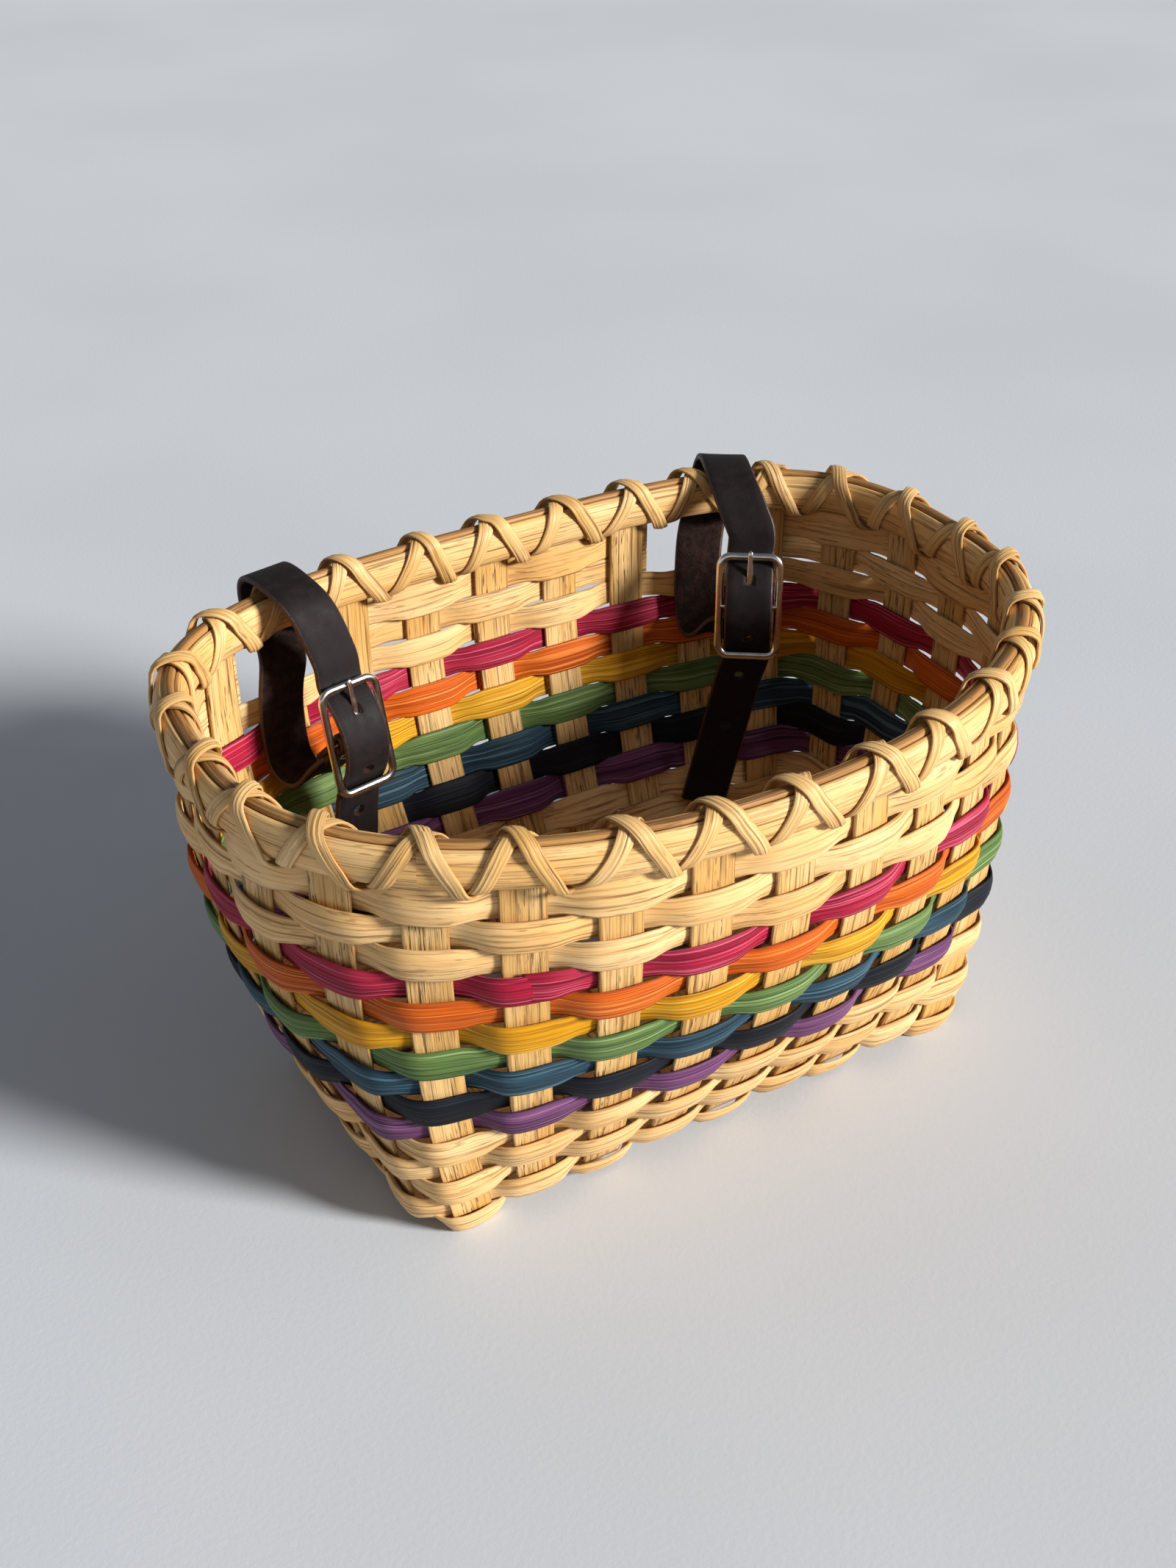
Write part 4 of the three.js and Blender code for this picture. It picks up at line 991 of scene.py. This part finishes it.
        def drop(depth):
            x = self.buckle + (self.tip - self.buckle) * depth / TAIL_LENGTH
            return x, begin[1] + TAIL_BEND * TAIL_LEAN * run[1], begin[2] - depth

        drops = [drop(depth) for depth in (TAIL_BEND, 2 * TAIL_BEND, TAIL_LENGTH)]
        return smooth_curve([end, neck, *drops], TAIL_STEPS)


def put(obj, matrix):
    """Moves a mesh built in a strap's or a buckle's axes to its place."""
    obj.data.transform(matrix)
    obj.data.update()
    return obj


def cylinder(centre, axis, radius, length, sides=24):
    """Cutter: a cylinder in millimetres round a centre."""
    bm = bmesh.new()
    turn = UP_VECTOR.rotation_difference(Vector(axis)).to_matrix().to_4x4()
    bmesh.ops.create_cone(bm, cap_ends=True, segments=sides, radius1=radius * MM, radius2=radius * MM,
                          depth=length * MM, matrix=Matrix.Translation(MM * Vector(centre)) @ turn)
    return piece("cutter", bm)


def slot_cutter(up_from, up_to, width, depth):
    """Cutter: a slot with round ends in the buckle's axes, through the leather from front to back."""
    radius = width / 2
    outline = [(radius * math.cos(a), up_to - radius + radius * math.sin(a))
               for a in np.radians(range(0, 181, 20))]
    outline += [(-x, up_from + up_to - z) for x, z in outline]
    bm = bmesh.new()
    face = bm.faces.new([bm.verts.new((x * MM, -depth * MM, z * MM)) for x, z in outline])
    made = bmesh.ops.extrude_face_region(bm, geom=[face])
    bmesh.ops.translate(bm, verts=[v for v in made["geom"] if isinstance(v, bmesh.types.BMVert)],
                        vec=(0, 2 * depth * MM, 0))
    bmesh.ops.recalc_face_normals(bm, faces=bm.faces)
    return piece("cutter", bm)


def combine(obj, others, operation):
    """Cuts the other meshes out of a piece, or joins them to it, and removes them."""
    for other in others:
        modifier = obj.modifiers.new("combine", "BOOLEAN")
        modifier.operation, modifier.solver, modifier.object = operation, "EXACT", other
        modifier.material_mode = "TRANSFER"
    graph = bpy.context.evaluated_depsgraph_get()
    mesh = bpy.data.meshes.new_from_object(obj.evaluated_get(graph))
    obj.modifiers.clear()
    obj.data = mesh
    for other in others:
        bpy.data.objects.remove(other)
    return obj


def hole_cutter(path, distance):
    """Round cutter through the leather at a distance along its path."""
    run = run_along(path)
    m = int(np.searchsorted(run, distance))
    tangent = unit(path[m] - path[m - 1])
    centre = path[m - 1] + tangent * (distance - run[m - 1])
    return cylinder(centre, np.cross(tangent, STRAP_ACROSS), HOLE_DIAMETER / 2, 2 * STRAP_THICKNESS)


def leather_strip(name, path, matrix, holes):
    """A stretch of strap along a path in the strap's axes, cut by its holes and put in its place."""
    obj = sweep(name, path, STRAP_ACROSS, STRAP_PROFILE, zones=STRAP_ZONES, start=grain_start())
    for material in LEATHER:
        obj.data.materials.append(material)
    for hole in holes:
        hole.data.materials.append(LEATHER[EDGE_ZONE])
    combine(obj, holes, "DIFFERENCE")
    return put(obj, matrix)


def buckle_frame(name):
    """Wire loop with round corners and a bar across its middle."""
    half = STRAP_WIDTH / 2 + BUCKLE_SIDE_PLAY + WIRE / 2
    corner = BUCKLE_CORNER + WIRE_SPREAD / 2
    centres = [(1, 1), (-1, 1), (-1, -1), (1, -1)]
    path = []
    for m, (sx, sz) in enumerate(centres):
        for a in np.radians(np.linspace(90 * m, 90 * m + 90, 9)):
            path.append((sx * (half - BUCKLE_CORNER) + corner * math.cos(a), 0,
                         sz * (BAR_REACH - BUCKLE_CORNER) + corner * math.sin(a)))
    loop = sweep(name, path, BUCKLE_ACROSS, round_profile(WIRE, WIRE + WIRE_SPREAD, 24), True)
    bar_path = np.linspace((-half, 0, 0), (half, 0, 0), 12)
    bar = sweep("bar", bar_path, BUCKLE_ACROSS, round_profile(WIRE, WIRE, 16))
    return combine(loop, [bar], "UNION")


def buckle_tongue(name):
    """Flat wire bent round the middle bar, with an arm that narrows to its tip on the upper bar."""
    ring = TONGUE_BORE + TONGUE_WALL / 2
    rest = WIRE / 2 + TONGUE_GAP + TONGUE_WALL / 2
    tip = BAR_REACH + WIRE / 2 + TONGUE_TIP
    eye = [(ring * math.cos(a), ring * math.sin(a)) for a in np.radians(np.linspace(*TONGUE_EYE, 25))]
    arm = [(up, rest) for up in np.linspace(TONGUE_HEEL, tip, 22)]
    path = [(0, -front, up) for up, front in eye + arm]
    narrowing = np.linspace(1, TONGUE_NARROW, 9)
    taper = np.concatenate([np.ones(len(path) - len(narrowing) - 1), narrowing, [TONGUE_POINT]])
    profile = strip_profile(TONGUE_WIDTH, TONGUE_WALL, TONGUE_CROWN, edge=TONGUE_EDGE)
    return sweep(name, path, STRAP_ACROSS, profile, grow=np.column_stack([taper, taper]))


def rivet(name):
    """Domed heads on both sides of the folded leather, on one shank."""
    grip = STRAP_HALF + LAYER_HALF
    dome = [(RIVET_HEAD / 2 * math.cos(a), grip + RIVET_HEAD_HEIGHT * math.sin(a))
            for a in np.radians(np.linspace(0, 90, 8))]
    inset, sink = RIVET_UNDERCUT
    upper = [(RIVET_SHANK / 2, grip), (RIVET_HEAD / 2 - inset, grip - sink), *dome[:-1]]
    upper.append((0.0, grip + RIVET_HEAD_HEIGHT))
    outline = [(r, -y) for r, y in upper[::-1]] + upper
    bm = bmesh.new()
    verts = [bm.verts.new((r * MM, 0, y * MM)) for r, y in outline]
    edges = [bm.edges.new(pair) for pair in zip(verts, verts[1:])]
    bmesh.ops.spin(bm, geom=verts + edges, cent=(0, 0, 0), axis=(0, 0, 1), angle=2 * math.pi, steps=28)
    bmesh.ops.remove_doubles(bm, verts=bm.verts, dist=1e-6)
    bmesh.ops.recalc_face_normals(bm, faces=bm.faces)
    for face in bm.faces:
        face.smooth = True
    return piece(name, bm)


def add_strap(side):
    """One strap with its loose tail, buckle, tongue and rivet."""
    hang = Strap(side)
    path = hang.path()
    length = np.linalg.norm(np.diff(path, axis=0), axis=1).sum()
    eye = cylinder((0, 0, 0), STRAP_ACROSS, FOLD_RADIUS + STRAP_HALF + FOLD_GAP / 2,
                   TONGUE_WIDTH + 2 * TONGUE_PLAY)
    slit = slot_cutter(*TONGUE_SLIT, TONGUE_WIDTH + 2 * SLIT_PLAY, FRONT_BULGE + STRAP_THICKNESS)
    for cutter in (eye, slit):
        put(cutter, hang.place.inverted() @ hang.buckle_place)
    holes = [hole_cutter(path, length - HOLE_REACH), eye, slit]
    strap = leather_strip(f"leather_{side}_strap", path, hang.place, holes)
    dress(strap, f"{side}_strap", f"{side}_strap", "dark_leather")

    run = unit(path[-1] - path[-2])
    tail_path = hang.tail_path(path[-1], run)
    reaches = np.arange(HOLE_PITCH - HOLE_REACH, TAIL_LENGTH - HOLE_PITCH, HOLE_PITCH)
    tail = leather_strip(f"leather_{side}_strap_tail", tail_path, hang.place,
                         [hole_cutter(tail_path, reach) for reach in reaches])
    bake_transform(tail)
    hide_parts(f"{side}_strap_tail")

    metal = [
        (buckle_frame(f"wire_{side}_buckle_frame"), hang.buckle_place, "buckle", "buckle_frame"),
        (buckle_tongue(f"wire_{side}_buckle_tongue"), hang.buckle_place, "tongue", "buckle_tongue"),
        (rivet(f"domed_{side}_rivet"), hang.rivet_place, "strap", "rivet"),
    ]
    for obj, matrix, body, node in metal:
        put(obj, matrix)
        obj.data.materials.clear()
        dress(obj, f"{side}_{node}", f"{side}_{body}", "nickel", NICKEL)


for side in STRAPS:
    add_strap(side)


# Floor, light and camera
FLOOR_SIZE = 14
WORLD_LEVEL = 0.25
CEILING_SPAN = (0.15, 0.6)
WINDOW = (3.3, -4.28, 2.42)
WINDOW_SPAN = (0.84, 0.93)
WINDOW_LEVEL = 6.0
WINDOW_ANGLE = math.radians(13.5)
SENSOR = 36
PHOTO_HEIGHT = 2133
FOCAL_PIXELS = 2635.7
CAMERA_AZIMUTH, CAMERA_ELEVATION, CAMERA_ROLL = math.radians(-29.8), math.radians(34.32), math.radians(-0.57)
CAMERA_DISTANCE = 0.8353
CAMERA_TARGET = Vector((0.02032, 0.06614, 0.0814))


def floor_material():
    n = new_material("floor")
    tooth = n.noise(n.position(), 3, 0.6, 420)
    cloud = n.noise(n.position(), 2, 0.5, 3)
    colour = n.mix(n.spread(cloud, 0.3, 0.7), paint("cacfd5"), paint("c4c9cf"))
    n.bump(tooth, 0.12, 0.0006)
    return n.finish(colour, n.spread(tooth, 0.3, 0.7, 0.8, 0.92), Specular_IOR_Level=0.2)


def add_floor():
    bm = bmesh.new()
    bmesh.ops.create_grid(bm, x_segments=8, y_segments=8, size=FLOOR_SIZE / 2)
    floor = piece("floor", bm)
    floor.data.materials.append(floor_material())


def add_world():
    """Even cool light; seen or mirrored are a pale horizon, a bright window side and a dark ceiling."""
    n = Nodes(bpy.data.worlds.new("studio"))
    bpy.context.scene.world = n.owner

    def facing(direction, low, high):
        dot = n.add("ShaderNodeVectorMath", operation="DOT_PRODUCT")
        n.link(n.add("ShaderNodeTexCoord").outputs["Generated"], dot.inputs[0])
        dot.inputs[1].default_value = direction
        return n.spread(dot.outputs["Value"], low, high)

    lit = n.tree.nodes["Background"]
    n.set(lit, Color=paint("e9eef6"), Strength=WORLD_LEVEL)
    seen = n.add("ShaderNodeBackground")
    ceiling = n.mix(facing(UP_VECTOR, *CEILING_SPAN), paint("c9cdd2"), paint("5f646b"))
    window = n.mix(facing(Vector(WINDOW).normalized(), *WINDOW_SPAN), ceiling, paint("ffffff"))
    n.link(window, seen.inputs["Color"])
    n.set(seen, Strength=1.0)
    rays = n.add("ShaderNodeLightPath").outputs
    direct = n.math("MAXIMUM", rays["Is Camera Ray"], rays["Is Glossy Ray"])
    mix = n.add("ShaderNodeMixShader")
    n.link(n.math("MAXIMUM", direct, rays["Is Transmission Ray"]), mix.inputs[0])
    n.link(lit.outputs[0], mix.inputs[1])
    n.link(seen.outputs[0], mix.inputs[2])
    n.link(mix.outputs[0], n.tree.nodes["World Output"].inputs["Surface"])


def add_light():
    data = bpy.data.lights.new("window", "SUN")
    data.energy, data.angle, data.color = WINDOW_LEVEL, WINDOW_ANGLE, paint("fffcf8")[:3]
    lamp = bpy.data.objects.new("window", data)
    lamp.location = WINDOW
    lamp.rotation_euler = (-Vector(WINDOW)).to_track_quat("-Z", "Y").to_euler()
    bpy.context.scene.collection.objects.link(lamp)


def add_camera():
    a, e = CAMERA_AZIMUTH, CAMERA_ELEVATION
    back = Vector((math.sin(a) * math.cos(e), -math.cos(a) * math.cos(e), math.sin(e)))
    level = Vector((math.cos(a), math.sin(a), 0))
    upright = back.cross(level)
    right = level * math.cos(CAMERA_ROLL) + upright * math.sin(CAMERA_ROLL)
    data = bpy.data.cameras.new("camera")
    data.sensor_fit = "VERTICAL"
    data.sensor_width = data.sensor_height = SENSOR
    data.lens = SENSOR * FOCAL_PIXELS / PHOTO_HEIGHT
    camera = bpy.data.objects.new("camera", data)
    turn = Matrix((right, back.cross(right), back)).transposed().to_4x4()
    camera.matrix_world = Matrix.Translation(CAMERA_TARGET + back * CAMERA_DISTANCE) @ turn
    bpy.context.scene.collection.objects.link(camera)
    bpy.context.scene.camera = camera


add_floor()
add_world()
add_light()
add_camera()
bpy.context.scene.view_settings.view_transform = "Standard"
